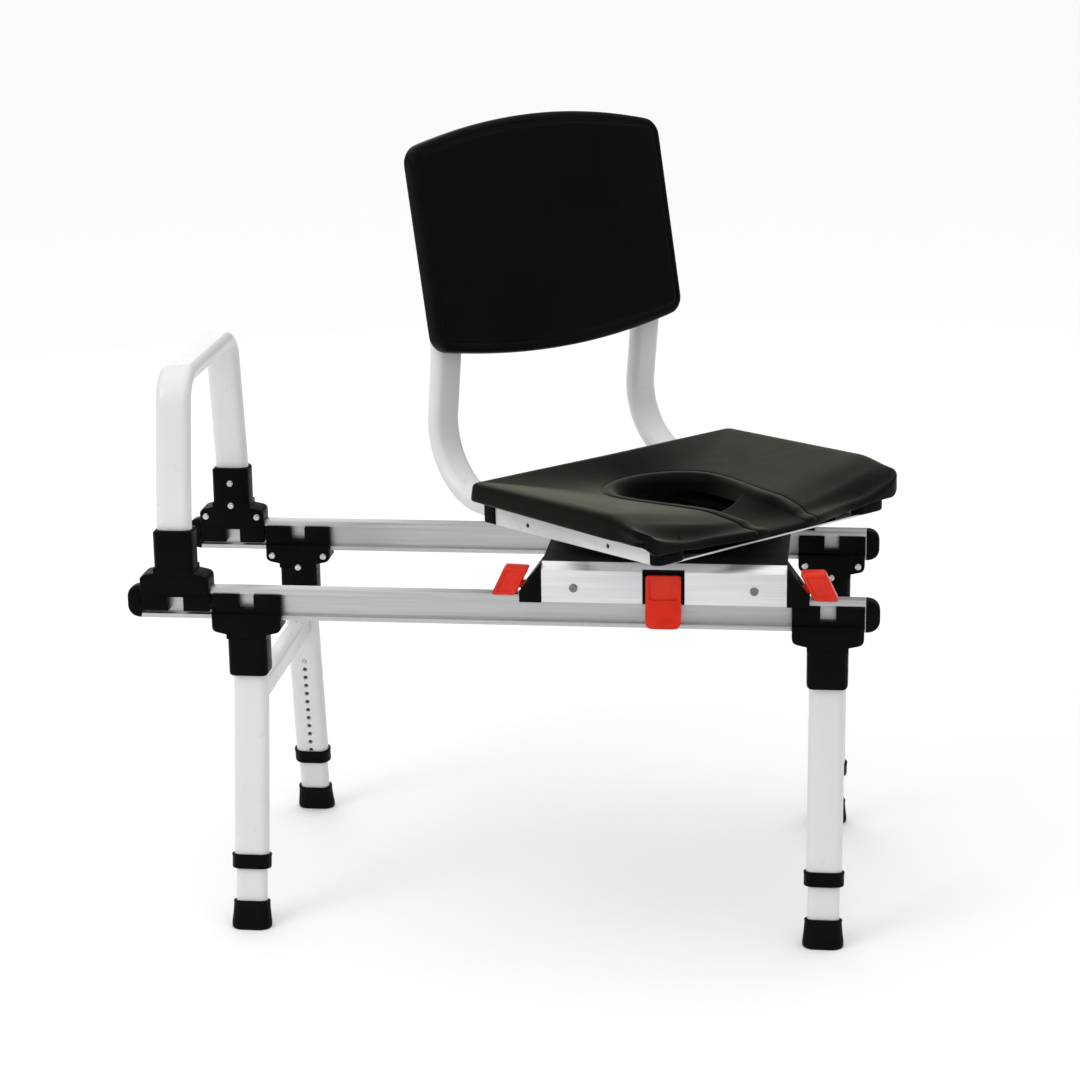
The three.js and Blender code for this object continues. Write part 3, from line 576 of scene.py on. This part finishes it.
def outer_leg_mesh():
    reach = COLLAR_TOP + COLLAR_HEIGHT - 4 * MM
    end = (math.sin(SPLAY) * reach, LEG_BEND - math.cos(SPLAY) * reach)
    corners = [(0, LEG_TOP), (0, LEG_BEND, LEG_BEND_RADIUS), end]
    bm = bmesh.new()
    hollow_tube(bm, bend_route(corners, math.radians(2.5)))
    return drilled(bm, HOLE_RADIUS, along_leg())


def inner_leg_mesh():
    """From just below the bend to just above the floor, inside the foot."""
    start, end = 22 * MM, FLOOR_ALONG_LEG - 9 * MM
    bore_width, bore_depth = INNER_WIDTH - 2 * INNER_WALL, INNER_DEPTH - 2 * INNER_WALL
    loops = [oval_loop(INNER_WIDTH, INNER_DEPTH, z) for z in (start, end)]
    loops += [oval_loop(bore_width, bore_depth, z) for z in (end, start)]
    bm = bmesh.new()
    loft_round(bm, loops)
    return drilled(bm, HOLE_RADIUS - 0.2 * MM, Matrix.Identity(4))


def from_mesh(mesh, matrix):
    bm = bmesh.new()
    bm.from_mesh(mesh)
    return shifted(bm, matrix)


def legs():
    outer_tube, inner_tube = outer_leg_mesh(), inner_leg_mesh()
    for row in ROWS:
        for end in ENDS:
            name = f"{row}_{end}"
            place = leg_place(row, end)
            down = place @ along_leg()
            leg = piece(f"{name}_leg_tube", from_mesh(outer_tube, place), WHITE, "base")
            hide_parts(f"{name}_outer_leg")
            inner = from_mesh(inner_tube, down)
            leg = piece(f"{name}_inner_tube", inner, WHITE, f"{name}_leg")
            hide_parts(f"{name}_inner_leg")
            collar(name, down)
            snap_button(name, down)
            foot(name, down)


def collar(name, down):
    """Black sleeve end with a lip that guides the inner leg."""
    bm = bmesh.new()
    top, bottom = COLLAR_TOP, COLLAR_TOP + COLLAR_HEIGHT
    levels = [(top, -0.4 * MM), (top + 0.5 * MM, 0.2 * MM)]
    levels += [(top + 2.6 * MM, 0.2 * MM), (top + 3.4 * MM, -0.3 * MM)]
    levels += [(bottom - 2 * MM, -0.3 * MM), (bottom - 0.6 * MM, -0.8 * MM), (bottom, -1.6 * MM)]
    width, depth = 50.5 * MM, 28.5 * MM
    outer = [oval_loop(width + 2 * grow, depth + 2 * grow, z) for z, grow in levels]
    lip_width, lip_depth = 40.4 * MM, 18.2 * MM
    bore_width, bore_depth = TUBE_WIDTH + 0.6 * MM, TUBE_DEPTH + 0.6 * MM
    shelf = bottom - 3.7 * MM
    inner = [oval_loop(lip_width, lip_depth, z) for z in (bottom, shelf)]
    inner += [oval_loop(bore_width, bore_depth, z) for z in (shelf, top)]
    loft_round(bm, outer + inner)
    made = piece(f"{name}_collar", shifted(bm, down), BLACK, "base")
    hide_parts(f"{name}_leg_collar")


def snap_button(name, down):
    """A domed steel button through the leg's first hole."""
    bm = bmesh.new()
    start = INNER_DEPTH / 2 - 2.6 * MM
    end = TUBE_DEPTH / 2 + 1.2 * MM
    radius = 2.5 * MM
    dome = ((end - 1.2 * MM, radius), (end - 0.4 * MM, radius * 0.8), (end, radius * 0.35))
    loft(bm, [circle(r, z, 20) for z, r in ((start, radius), *dome)])
    place = down @ Matrix.Translation((0, 0, FIRST_HOLE)) @ Matrix.Rotation(-math.pi / 2, 4, "X")
    made = piece(f"{name}_button", shifted(bm, place), STEEL, f"{name}_button")
    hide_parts(f"{name}_snap_button")


def foot(name, down):
    """Flared rubber foot whose sole is cut level with the floor."""
    top = (LEG_BEND - 34 * MM) / math.cos(SPLAY)
    bm = bmesh.new()
    width, depth = 46.5 * MM, 24.5 * MM
    body = [(top, -0.5), (top + 0.7 * MM, 0.3), (top + 2.4 * MM, 0.35), (top + 3.2 * MM, -0.1)]
    body += [(top + 10 * MM, 0.35), (top + 18 * MM, 1.1), (top + 24 * MM, 1.9)]
    outer = [oval_loop(width + 2 * grow * MM, depth + 2 * grow * MM, z) for z, grow in body]
    sole = []
    for lift, grow in ((6.0, 2.3), (2.4, 2.3), (0.8, 1.6), (0.0, 0.2)):
        loop = []
        for x, y in oval(width + 2 * grow * MM, depth + 2 * grow * MM):
            z = FLOOR_ALONG_LEG - y * math.tan(SPLAY) - lift * MM
            loop.append(Vector((x, y, z)))
        sole.append(loop)
    rings = loft(bm, outer + sole, False, True)
    bore_width, bore_depth = INNER_WIDTH + 0.6 * MM, INNER_DEPTH + 0.6 * MM
    bore = [oval_loop(bore_width, bore_depth, z) for z in (top, FLOOR_ALONG_LEG - 8.7 * MM)]
    inside = loft(bm, bore, False, True)
    join(bm, inside[0], rings[0])
    made = piece(f"{name}_rubber_foot", shifted(bm, down), RUBBER, f"{name}_leg")
    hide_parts(f"{name}_foot")


# ---- handle, rail caps, fasteners ----------------------------------------------------------------
def grab_handle():
    low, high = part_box("grab_handle")
    top = high.z - TUBE_DEPTH / 2
    bend = 522 * MM
    corner = RAIL_Y - math.tan(HANDLE_LEAN) * (top - bend)
    half = [(-RAIL_Y, low.z), (-RAIL_Y, bend, 120 * MM), (-corner, top, 38 * MM)]
    route = half + [(-point[0], *point[1:]) for point in reversed(half)]
    bm = bmesh.new()
    hollow_tube(bm, bend_route(route))
    shifted(bm, Matrix.Translation((HANDLE_X, CENTRE_Y, 0)))
    made = piece("handle_tube", bm, WHITE, "base", 0.25 * MM)
    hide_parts("grab_handle")


def rail_caps():
    for row in ROWS:
        for end, side in (("left", -1), ("right", 1)):
            node = f"{row}_rail_cap_{end}"
            low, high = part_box(node)
            centre = (low + high) / 2
            length = high.x - low.x
            bm = bmesh.new()
            loops = []
            for t in (0, 0.12, 0.3, 0.5, 0.68, 0.82, 0.92, 0.98, 1.0):
                shrink = math.sqrt(max(1 - t**2.4, 0.0))
                width = (high.y - low.y) * (0.55 + 0.45 * shrink)
                height = (high.z - low.z) * (0.30 + 0.70 * shrink)
                radius = min(width, height) * 0.25
                x = side * (t - 0.5) * length
                loops.append([Vector((x, u, v)) for u, v in rounded_box(width, height, radius)])
            loft(bm, loops)
            shifted(bm, Matrix.Translation(centre))
            made = piece(f"{node}_dome", bm, BLACK, "base", 0.3 * MM)
            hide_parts(node)


def socket_screw(name, place, radius, material, body, height=2.2 * MM):
    """A low round head with a hexagon socket; +Z of its frame is out of the surface."""
    bm = bmesh.new()
    hexagon = radius * 0.5
    segments = 24
    profile = [(0, radius), (height * 0.55, radius)]
    profile += [(height * 0.9, radius * 0.86), (height, radius * 0.66)]
    loops = [circle(r, z, segments) for z, r in profile]
    for z in (height, height * 0.35):
        ring = []
        for k in range(segments):
            angle = 2 * math.pi * k / segments
            within = (angle + math.pi / 6) % (math.pi / 3) - math.pi / 6
            r = hexagon * math.cos(math.pi / 6) / math.cos(within)
            ring.append(Vector((r * math.cos(angle), r * math.sin(angle), z)))
        loops.append(ring)
    loft(bm, loops)
    return piece(name, shifted(bm, place), material, body)


def facing(x, y, z, direction):
    """Frame at a point whose +Z looks along the given direction."""
    turn = Vector(direction).to_track_quat("Z", "Y").to_matrix().to_4x4()
    return Matrix.Translation((x, y, z)) @ turn


def bracket_screws():
    """Four screws on the inner face of each bracket: (along the rail, height), in mm."""
    leg_rows = ((-35, 387), (35, 387), (0, 371), (0, 341))
    handle_rows = ((-35, 440.5), (35, 440.5), (0, 456), (0, 487))
    for row, side in ROWS.items():
        for end, x0 in list(ENDS.items()) + [("handle", HANDLE_X)]:
            spots = handle_rows if end == "handle" else leg_rows
            node = f"{row}_handle_bracket" if end == "handle" else f"{row}_{end}_leg_bracket"
            low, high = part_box(node)
            inner = low.y if side > 0 else high.y
            stem_inner = inner + side * 0.5 * MM
            for i, (dx, z) in enumerate(spots):
                y = stem_inner if dx == 0 else inner
                place = facing(x0 + dx * MM, y, z * MM, (0, -side, 0))
                name = f"{row}_{end}_bracket_screw_{i + 1}"
                socket_screw(name, place, 4.3 * MM, STEEL, "base")


def plate_screws():
    for row, side in ROWS.items():
        low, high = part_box(f"{row}_side_plate")
        y = low.y if side < 0 else high.y
        for i, dx in enumerate((-110.4, 110.4)):
            place = facing(SWIVEL_X + dx * MM, y, 445.6 * MM, (0, side, 0))
            name = f"{row}_plate_screw_{i + 1}"
            socket_screw(name, place, 5.3 * MM, SCREW, "carriage", 1.8 * MM)


# ---- carriage: levers and turntable --------------------------------------------------------------
def rounded_outline(corners, radius, steps=4):
    """Corner points with each corner turned into a short arc."""
    points = []
    count = len(corners)
    for i, corner in enumerate(corners):
        here = Vector(corner)
        before = (Vector(corners[i - 1]) - here).normalized()
        after = (Vector(corners[(i + 1) % count]) - here).normalized()
        start, end = here + before * radius, here + after * radius
        for k in range(steps + 1):
            t = k / steps
            points.append(start * (1 - t) ** 2 + here * 2 * t * (1 - t) + end * t**2)
    return points


def inset(corners, amount):
    """The corners of a four-sided outline, each side moved inwards by amount."""
    made = []
    count = len(corners)
    at = [Vector(corner) for corner in corners]
    area = sum(at[i - 1].cross(at[i]) for i in range(count))
    turn = 1 if area > 0 else -1
    for i, here in enumerate(at):
        before = (here - at[i - 1]).normalized()
        after = (at[(i + 1) % count] - here).normalized()
        side = Vector((-before.y, before.x)) * turn
        bend = math.atan2(before.cross(after), before.dot(after))
        shift = side + before * math.tan(bend / 2) * -turn
        made.append(here + shift * amount)
    return made


def slide_locks():
    """Red thumb blocks with a raised rim round a sunk panel, and the tongue behind."""
    # corners in mm, as x from the swivel axis and z; levels as (inset, distance behind the front)
    slant = [(-195.5, 469.6), (-212.3, 434.2), (-182.8, 434.2), (-165.2, 468.4)]
    tongue = [(-190, 442.8), (-165.5, 442.8), (-165.5, 451.2), (-190, 451.2)]
    levels = [(0.8, 22.0), (0.0, 21.0), (0.0, 2.4), (0.6, 0.9)]
    levels += [(1.8, 0.0), (4.2, 0.0), (5.2, 1.6)]
    for end, side in (("left", 1), ("right", -1)):
        node = f"{end}_slide_lock"
        low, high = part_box(node)
        front = low.y
        corners = [(side * x * MM, z * MM) for x, z in slant]
        bm = bmesh.new()
        loops = []
        for amount, back in levels:
            loop = rounded_outline(inset(corners, amount * MM), (3.6 - 0.4 * amount) * MM)
            loops.append([Vector((p.x, front + back * MM, p.y)) for p in loop])
        loft(bm, loops)
        strip = rounded_outline([(side * x * MM, z * MM) for x, z in tongue], 2.5 * MM)
        mid = (low.y + high.y) / 2
        loft(bm, [[Vector((p.x, mid + w * MM, p.y)) for p in strip] for w in (-4.4, 4.4)])
        shifted(bm, Matrix.Translation((SWIVEL_X, 0, 0)))
        made = piece(f"{end}_lock_lever", bm, RED, f"{end}_lock", 0.5 * MM)
        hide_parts(node)


def turntable():
    for node, body in (("turntable_base", "carriage"), ("turntable_top", "seat")):
        low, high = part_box(node)
        outer = (high.x - low.x) / 2
        inner = 62 * MM
        top = high.z if node == "turntable_base" else low.z + 3.2 * MM
        bm = bmesh.new()
        edge = 0.8 * MM
        profile = [
            (inner, low.z),
            (outer - edge, low.z),
            (outer, low.z + edge),
            (outer, top - edge),
            (outer - edge, top),
            (inner, top),
        ]
        loft_round(bm, [circle(r, z, 96) for r, z in profile])
        shifted(bm, Matrix.Translation((SWIVEL_X, CENTRE_Y, 0)))
        made = piece(f"{node}_ring", bm, BLACK, body)
        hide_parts(node)


# ---- seat ----------------------------------------------------------------------------------------
def in_seat(a, b, c):
    """A point of the seat: a to its side, b ahead of the swivel axis, c above the pad's rim."""
    return SEAT @ Vector((a, -b, c))


PAD_HALF = 226.0
PAD_REAR = -131.0
PAD_FRONT = 205.0
PAD_SHOULDER = 188.0
FRONT_CORNER = 22.0
REAR_CORNER = 5.0
PAD_FLARE = 2.5  # the outer wall leans out this far towards its lower edge, and in at the front
MOUTH_HALF = 32.0
LIP = 18.0  # from the cut-out's edge to the moulded line round it
RAILS_FROM = 144.5  # the underside rises from here outwards, to clear the seat rails
CAPS_END = 182.4  # the seat rail caps reach this far ahead
PAD_DEEP = -47.0  # the underside between the rails
NOSE = 5.5  # the front edge rolls over within this distance
NOSE_STEPS = ((NOSE, 7.5), (NOSE - 0.5, 4.0), (NOSE - 2.0, 1.4), (NOSE - 3.8, 0.3), (0.0, 0.0))


def half_opening(b):
    """Half the width of the cut-out, b ahead of the swivel axis."""
    return 73 - 28.5 * smooth((b + 10) / 150) - 12.5 * smooth((b - 125) / 85)


def inner_edge(t):
    """Left half of the cut-out, in mm, from the mouth (t = 0) to the rear middle (t = 1)."""
    bulb_from = 0.6
    if t < bulb_from:
        b = (PAD_FRONT - NOSE) - (PAD_FRONT - NOSE + 10) * t / bulb_from
        return Vector((-half_opening(b), b))
    angle = math.pi / 2 * (t - bulb_from) / (1 - bulb_from)
    return Vector((-73 * math.cos(angle), -10 - 60 * math.sin(angle)))


def front_line(s, forward=0.0):
    """The front edge from the mouth (s = 0) to the middle of the front corner (s = 1)."""
    straight = 0.9
    last = PAD_HALF - FRONT_CORNER
    inward = (NOSE - forward) * (1 - smooth((s - 0.8) / 0.2))
    if s < straight:
        a = MOUTH_HALF + (last - MOUTH_HALF) * s / straight
        bow = smooth((130 - a) / 90)
        return Vector((-a, PAD_SHOULDER + (PAD_FRONT - PAD_SHOULDER) * bow - inward))
    angle = math.pi / 4 * (s - straight) / (1 - straight)
    reach = FRONT_CORNER - inward
    return Vector((-last - reach * math.sin(angle), PAD_SHOULDER - FRONT_CORNER + reach * math.cos(angle)))


def outer_edge(t):
    """Left half of the pad's outline behind front_line, as a point and the way it faces."""
    side_from, rear_from = 0.06, 0.66
    if t < side_from:
        angle = math.pi / 4 * (1 + t / side_from)
        way = Vector((-math.sin(angle), math.cos(angle)))
        return Vector((FRONT_CORNER - PAD_HALF, PAD_SHOULDER - FRONT_CORNER)) + FRONT_CORNER * way, way
    if t < rear_from:
        s = (t - side_from) / (rear_from - side_from)
        b = (PAD_SHOULDER - FRONT_CORNER) * (1 - s) + (PAD_REAR + REAR_CORNER) * s
        return Vector((-PAD_HALF, b)), Vector((-1, 0))
    s = (t - rear_from) / (1 - rear_from)
    turn = 0.1
    inside = PAD_HALF - REAR_CORNER
    if s < turn:
        angle = math.pi / 2 * s / turn
        way = Vector((-math.cos(angle), -math.sin(angle)))
        return Vector((-inside, PAD_REAR + REAR_CORNER)) + REAR_CORNER * way, way
    return Vector((-inside * (1 - (s - turn) / (1 - turn)), PAD_REAR)), Vector((0, -1))


def rim_height(p):
    """Top of the pad at its outer edge: level, then down over the front corners and the mouth."""
    side_drop = 10 * smooth((p.y - 112) / 60) + 2 * smooth((p.y - 166) / 20)
    share = min((PAD_HALF - abs(p.x)) / 100, 1)
    return -side_drop - 25 * (1 - (1 - share) ** 2) * smooth((p.y - 150) / 30)


def groove_height(b):
    return -23.5 - 14 * smooth((b - 115) / 105)


def lip_roll(b):
    """How far the lip rolls down into the cut-out: less towards the mouth."""
    return 3 + 6 * smooth((200 - b) / 80) + 5 * smooth((40 - b) / 60)


def skirt_height(p):
    """Bottom of the pad's outer wall."""
    if p.y < PAD_REAR + 1:
        return -24.0
    deep = smooth((PAD_HALF - 6 - abs(p.x)) / 14) * smooth((p.y - 150) / 20)
    return -24 - 7 * (p.y - PAD_REAR) / 320 - 12 * deep


def under_height(p):
    """Underside: high over the seat rails and along the rear edge, deep in the middle."""
    side = smooth((abs(p.x) - RAILS_FROM) / 3.0)
    if p.y > CAPS_END or abs(p.x) > PAD_HALF - 14:
        return PAD_DEEP + (skirt_height(p) - PAD_DEEP) * side
    rear = smooth((-114.5 - p.y) / 2.5)
    return PAD_DEEP + 21 * max(side, rear)


def pad_section(t, forward=0.0, drop=0.0):
    """Closed section as (point, height): the wall, the top from outside to inside, the underside."""
    inside = inner_edge(t)
    outside, way = outer_edge(t)
    if forward:
        inside = front_line(0, forward)
    span = outside - inside
    width = span.length
    unit = span / width
    bow = 1 - smooth(t / 0.22)

    def at(from_inside):
        s = min(from_inside / width, 1)
        p = inside + span * s
        if bow > 0:
            start, end = front_line(0, forward), front_line(1, forward)
            p += (front_line(s, forward) - start - (end - start) * s) * bow
        return p

    def lowered(from_inside, height):
        return height - drop * (1 - smooth((from_inside / width - 0.8) / 0.2))

    rim = rim_height(outside)
    base = skirt_height(outside)
    low = groove_height(at(LIP).y)
    nose = 1.0 + 0.4 * smooth((outside.y - 165) / 20)
    flared = outside + way * (PAD_FLARE - 8 * smooth((outside.y - 120) / 60))
    wall = [(flared - way * 4.5, base), (flared - way * 1.4, base + 0.6)]
    wall += [(flared - way * 0.3, base + 2.4), (flared, base + 4.5)]
    wall += [(outside + way * 0.2, rim - 6.5 * nose), (outside - unit * 0.4 * nose, rim - 4.2 * nose)]
    wall += [(outside - unit * 1.5 * nose, rim - 2.2 * nose)]
    top = []
    for back, fall in ((3.6, 0.9), (6.5, 0.2)):
        top.append((width - back * nose, rim - fall * nose))
    start, end = width - 12 * nose, LIP + 2.4
    rows = 18
    near_front = 1 - smooth(t / 0.2)
    for k in range(rows + 1):
        s = k / rows
        across = start + (end - start) * s
        ease = 0.85 * s + 0.15 * smooth(s)
        height = rim + (low - rim) * ease
        height += (min(rim_height(at(across)), height) - height) * near_front
        top.append((across, height))
    low = top[-1][1]
    top += [(LIP + 1.1, low - 0.8), (LIP, low - 2.5), (LIP - 1.1, low - 0.7)]
    top += [(LIP - 3, low + 0.3), (LIP - 7, low + 0.4)]
    roll = lip_roll(inside.y)
    for k in range(1, 9):
        angle = math.pi / 2 * k / 8
        top.append((9 * (1 - math.sin(angle)), low + 0.3 - roll * (1 - math.cos(angle))))
    over = [(at(d), lowered(d, h)) for d, h in top]
    under = [(p, min(under_height(p), height - 2.5)) for p, height in reversed(over[1:])]
    under.append((over[0][0], max(base, under_height(over[0][0]))))
    return wall + over + under, len(wall), len(over)


def seat_pad():
    """The cushion, skinned from one end of the mouth round the back to the other."""
    stations = 78
    left = [pad_section(0, forward, drop) for forward, drop in NOSE_STEPS]
    left += [pad_section(k / stations) for k in range(1, stations + 1)]
    _, wall, top = left[0]
    sections = [[(p.x, p.y, h) for p, h in section] for section, _, _ in left]
    sections += [[(-x, y, h) for x, y, h in section] for section in reversed(sections[:-1])]
    loops = [[in_seat(x * MM, y * MM, h * MM) for x, y, h in section] for section in sections]
    bm = bmesh.new()
    rings = loft(bm, loops, False, False)
    last = wall + 2 * top - 1
    for ring in (rings[0], rings[-1]):
        for k in range(top - 1):
            bm.faces.new((ring[wall + k], ring[wall + k + 1], ring[last - k - 1], ring[last - k]))
        bm.faces.new([ring[last]] + ring[:wall + 1])
    bmesh.ops.remove_doubles(bm, verts=bm.verts, dist=0.02 * MM)
    made = piece("seat_pad", bm, SEAT_PAD, "seat", sharp_angle=180)
    subdivide(made)
    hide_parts("seat_cushion")


def channel_floor():
    """Bottom of the channel between the open bulb and the front edge, moulded with the pad."""
    rows = 22
    first, last = 61.0, PAD_FRONT - NOSE
    spans = [(first, 1.8), (first + 0.5, 0.5)]
    spans += [(first + 1.5 + (last - first - 1.5) * k / rows, 0.0) for k in range(rows + 1)]
    spans += [(last + forward, drop * 0.8) for forward, drop in reversed(NOSE_STEPS[:-1])]
    loops = []
    for b, drop in spans:
        here = min(b, last)
        half = half_opening(here) + 1.2
        low = -50.5 + 1.5 * smooth((here - 62) / 70) + 8 * smooth((here - 120) / 80)
        side = groove_height(here) - lip_roll(here) - 0.6
        loop = []
        for k in range(17):
            s = -1 + k / 8
            loop.append(in_seat(s * half * MM, b * MM, (low + (side - low) * abs(s) ** 3 - drop) * MM))
        base = min(-52 + 4 * smooth((here - 150) / 40), low - drop - 1)
        loop += [in_seat(half * MM, b * MM, base * MM), in_seat(-half * MM, b * MM, base * MM)]
        loops.append(loop)
    bm = bmesh.new()
    loft(bm, loops)
    # The channel takes the darker copy of the seat's skin, which is painted shade.
    made = piece("seat_channel", bm, SHADED_CHANNEL_PAD, "seat", sharp_angle=50)


def pan_liner():
    """Black sheet on the pan, short of its front edge, so that only the edge of the metal shows."""
    top, bottom, lip = -57.4, -58.5, -61.3
    outside = [(-146, -112), (146, -112), (146, 140), (112, 174.7), (-112, 174.7), (-146, 140)]

    def hole(half, front):
        return [(-half, -half), (half, -half), (half, front), (40, front), (-40, front), (-half, front)]

    wide, narrow = hole(55.7, 61.7), hole(54.9, 60.9)
    levels = [(outside, bottom), (outside, top), (narrow, top)]
    levels += [(narrow, lip), (wide, lip), (wide, bottom)]
    bm = bmesh.new()
    loft_round(bm, [[in_seat(a * MM, b * MM, c * MM) for a, b in points] for points, c in levels])
    piece("pan_liner", bm, LINER, "seat")


# ---- backrest --------------------------------------------------------------------------------------
BACK_HALF = 211.0
BACK_HEIGHT = 128.0
BACK_LEAN = math.radians(9.9)
BACK_CENTRE = (-221.1, 282.7)  # ahead of the swivel axis and above the pad's rim
BOLT_HEIGHTS = (205, 330)  # of the bolts through the posts into the backrest
TOP_ARCH = 28.0
BOTTOM_ARCH = 22.0
BACK_CORNER = 20.0
# sections of the edge, as (distance from the edge, depth), with the moulded line in front
FRONT_PROFILE = (
    (0.0, 8.0),
    (0.8, 4.4),
    (2.6, 2.0),
    (5.5, 0.6),
    (8.5, 0.15),
    (10.3, 0.9),
    (11.6, 1.6),
    (12.9, 0.9),
    (14.6, 0.1),
    (18.0, -0.2),
)
REAR_PROFILE = ((0.0, 19.0), (0.9, 22.5), (3.5, 25.0), (9.0, 26.0))
DISH_FROM = 14.6  # the front is dished from here inwards


def along_profile(profile, distance):
    for (x0, y0), (x1, y1) in zip(profile, profile[1:]):
        if distance <= x1:
            return y0 + (y1 - y0) * (distance - x0) / (x1 - x0)
    return profile[-1][1]


def back_lines(half):
    """Grid lines across half a side: close together at the edge, then wider."""
    near = [distance for distance, _ in FRONT_PROFILE] + [24.0, 34.0]
    steps = 5
    near += [34 + (half - 34) * k / steps for k in range(1, steps)]
    left = [-(half - d) for d in near]
    return left + [0.0] + [-x for x in reversed(left)]


def back_point(x, y):
    """A grid point of the rounded rectangle, arched, and its distance from the edge."""
    w, h, r = BACK_HALF - BACK_CORNER, BACK_HEIGHT - BACK_CORNER, BACK_CORNER
    nx, ny = min(max(x, -w), w), min(max(y, -h), h)
    out = Vector((x - nx, y - ny))
    reach = max(abs(out.x), abs(out.y))
    if reach > 0:
        out = out.normalized() * reach
        distance = r - reach
    else:
        distance = r + min(w - abs(x), h - abs(y))
    x, y = nx + out.x, ny + out.y
    bow = 1 - (x / BACK_HALF) ** 2
    share = y / BACK_HEIGHT / 2
    y += bow * (TOP_ARCH * (0.5 + share) - BOTTOM_ARCH * (0.5 - share))
    return x, y, distance


def back_pad():
    lean = Matrix.Rotation(BACK_LEAN, 4, "X")
    columns, rows = back_lines(BACK_HALF), back_lines(BACK_HEIGHT)
    bm = bmesh.new()
    sides = []
    for profile in (FRONT_PROFILE, REAR_PROFILE):
        grid = []
        for y0 in rows:
            line = []
            for x0 in columns:
                x, y, distance = back_point(x0, y0)
                depth = along_profile(profile, distance)
                if profile is FRONT_PROFILE and distance > DISH_FROM:
                    depth -= 2.4 * smooth((distance - DISH_FROM) / 60)
                line.append(bm.verts.new((x * MM, depth * MM, y * MM)))
            grid.append(line)
        for low, high in zip(grid, grid[1:]):
            for i in range(len(columns) - 1):
                bm.faces.new((low[i], low[i + 1], high[i + 1], high[i]))
        border = grid[0] + [line[-1] for line in grid[1:]] + grid[-1][-2::-1]
        border += [line[0] for line in grid[-2:0:-1]]
        sides.append(border)
    join(bm, *sides)
    centre = Matrix.Translation((0, -BACK_CENTRE[0] * MM, BACK_CENTRE[1] * MM))
    shifted(bm, SEAT @ centre @ lean.inverted())
    made = piece("back_pad", bm, BACK_PAD, "seat", sharp_angle=180)
    subdivide(made)
    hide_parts("backrest")


def back_posts():
    bend_y = 155 * MM
    radius = 95 * MM
    forward = math.radians(8)
    knee = 150 * MM
    top = 372 * MM
    corner_y = bend_y + radius * math.tan((math.pi / 2 + forward) / 2)
    knee_y = corner_y - math.tan(forward) * (knee - SEAT_RAIL_C)
    top_y = knee_y + math.tan(BACK_LEAN) * (top - knee)
    corners = [(70 * MM, SEAT_RAIL_C), (corner_y, SEAT_RAIL_C, radius)]
    corners += [(knee_y, knee, 110 * MM), (top_y, top)]
    route = bend_route(corners)
    along = (route[-1] - route[-2]).normalized()
    for side, sign in (("left", -1), ("right", 1)):
        place = SEAT @ Matrix.Translation((sign * SEAT_RAIL_X, 0, 0))
        bm = bmesh.new()
        hollow_tube(bm, route)
        made = piece(f"{side}_post_tube", shifted(bm, place), WHITE, "seat", 0.25 * MM)
        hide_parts(f"{side}_back_post")
        bm = bmesh.new()
        levels = [(-12 * MM, -2.4 * MM), (0.1 * MM, -2.4 * MM), (0.1 * MM, -0.2 * MM)]
        levels += [(1.6 * MM, -0.2 * MM), (2.6 * MM, -1.0 * MM), (3.0 * MM, -2.5 * MM)]
        loft(bm, [oval_loop(TUBE_WIDTH + 2 * grow, TUBE_DEPTH + 2 * grow, z) for z, grow in levels])
        tilt = Matrix.Rotation(-math.atan2(along.x, along.y), 4, "X")
        end = Matrix.Translation((0, route[-1].x, route[-1].y)) @ tilt
        piece(f"{side}_post_plug", shifted(bm, place @ end), BLACK, "seat")
        for i, height in enumerate(BOLT_HEIGHTS):
            y = knee_y + math.tan(BACK_LEAN) * (height * MM - knee)
            out = Vector((0, math.cos(BACK_LEAN), -math.sin(BACK_LEAN)))
            spot = Matrix.Translation(Vector((0, y, height * MM)) + out * TUBE_DEPTH / 2)
            turn = out.to_track_quat("Z", "Y").to_matrix().to_4x4()
            name = f"{side}_backrest_bolt_{i + 1}"
            socket_screw(name, place @ spot @ turn, 5.5 * MM, STEEL, "seat", 3 * MM)


def seat_rail_caps():
    """Black end caps with rounded plan corners, sloped under the pad's front edge."""
    half, height, length, corner = 24.7, 32.0, 14.0, 12.0
    levels = ((-16.0, -1.4), (-14.8, -0.3), (-13.0, 0.0), (5.0, 0.0), (7.2, -1.2), (16.0, -13.0))
    for side, sign in (("left", -1), ("right", 1)):
        node = f"{side}_seat_rail_cap"
        bm = bmesh.new()
        loops = []
        for z, grow in levels:
            w = half + max(grow, -1.4)
            reach = length + grow
            r = min(corner, reach * 0.9)
            loop = [Vector((-w, 0, z)) * MM, Vector((w, 0, z)) * MM]
            for cx, start in ((1, 0), (-1, -90)):
                for k in range(9):
                    angle = math.radians(start - 90 * k / 8)
                    x = cx * (w - r) + r * math.cos(angle)
                    loop.append(Vector((x, -(reach - r) + r * math.sin(angle), z)) * MM)
            loops.append(loop)
        loft(bm, loops)
        place = SEAT @ Matrix.Translation((sign * SEAT_RAIL_X, -168.3 * MM, SEAT_RAIL_C))
        made = piece(f"{node}_shell", shifted(bm, place), BLACK, "seat", 0.3 * MM)
        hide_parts(node)


# ---- everything --------------------------------------------------------------------------------------
camera()
studio()
kept_nodes()
legs()
grab_handle()
rail_caps()
bracket_screws()
plate_screws()
slide_locks()
turntable()
seat_pad()
channel_floor()
pan_liner()
back_pad()
back_posts()
seat_rail_caps()
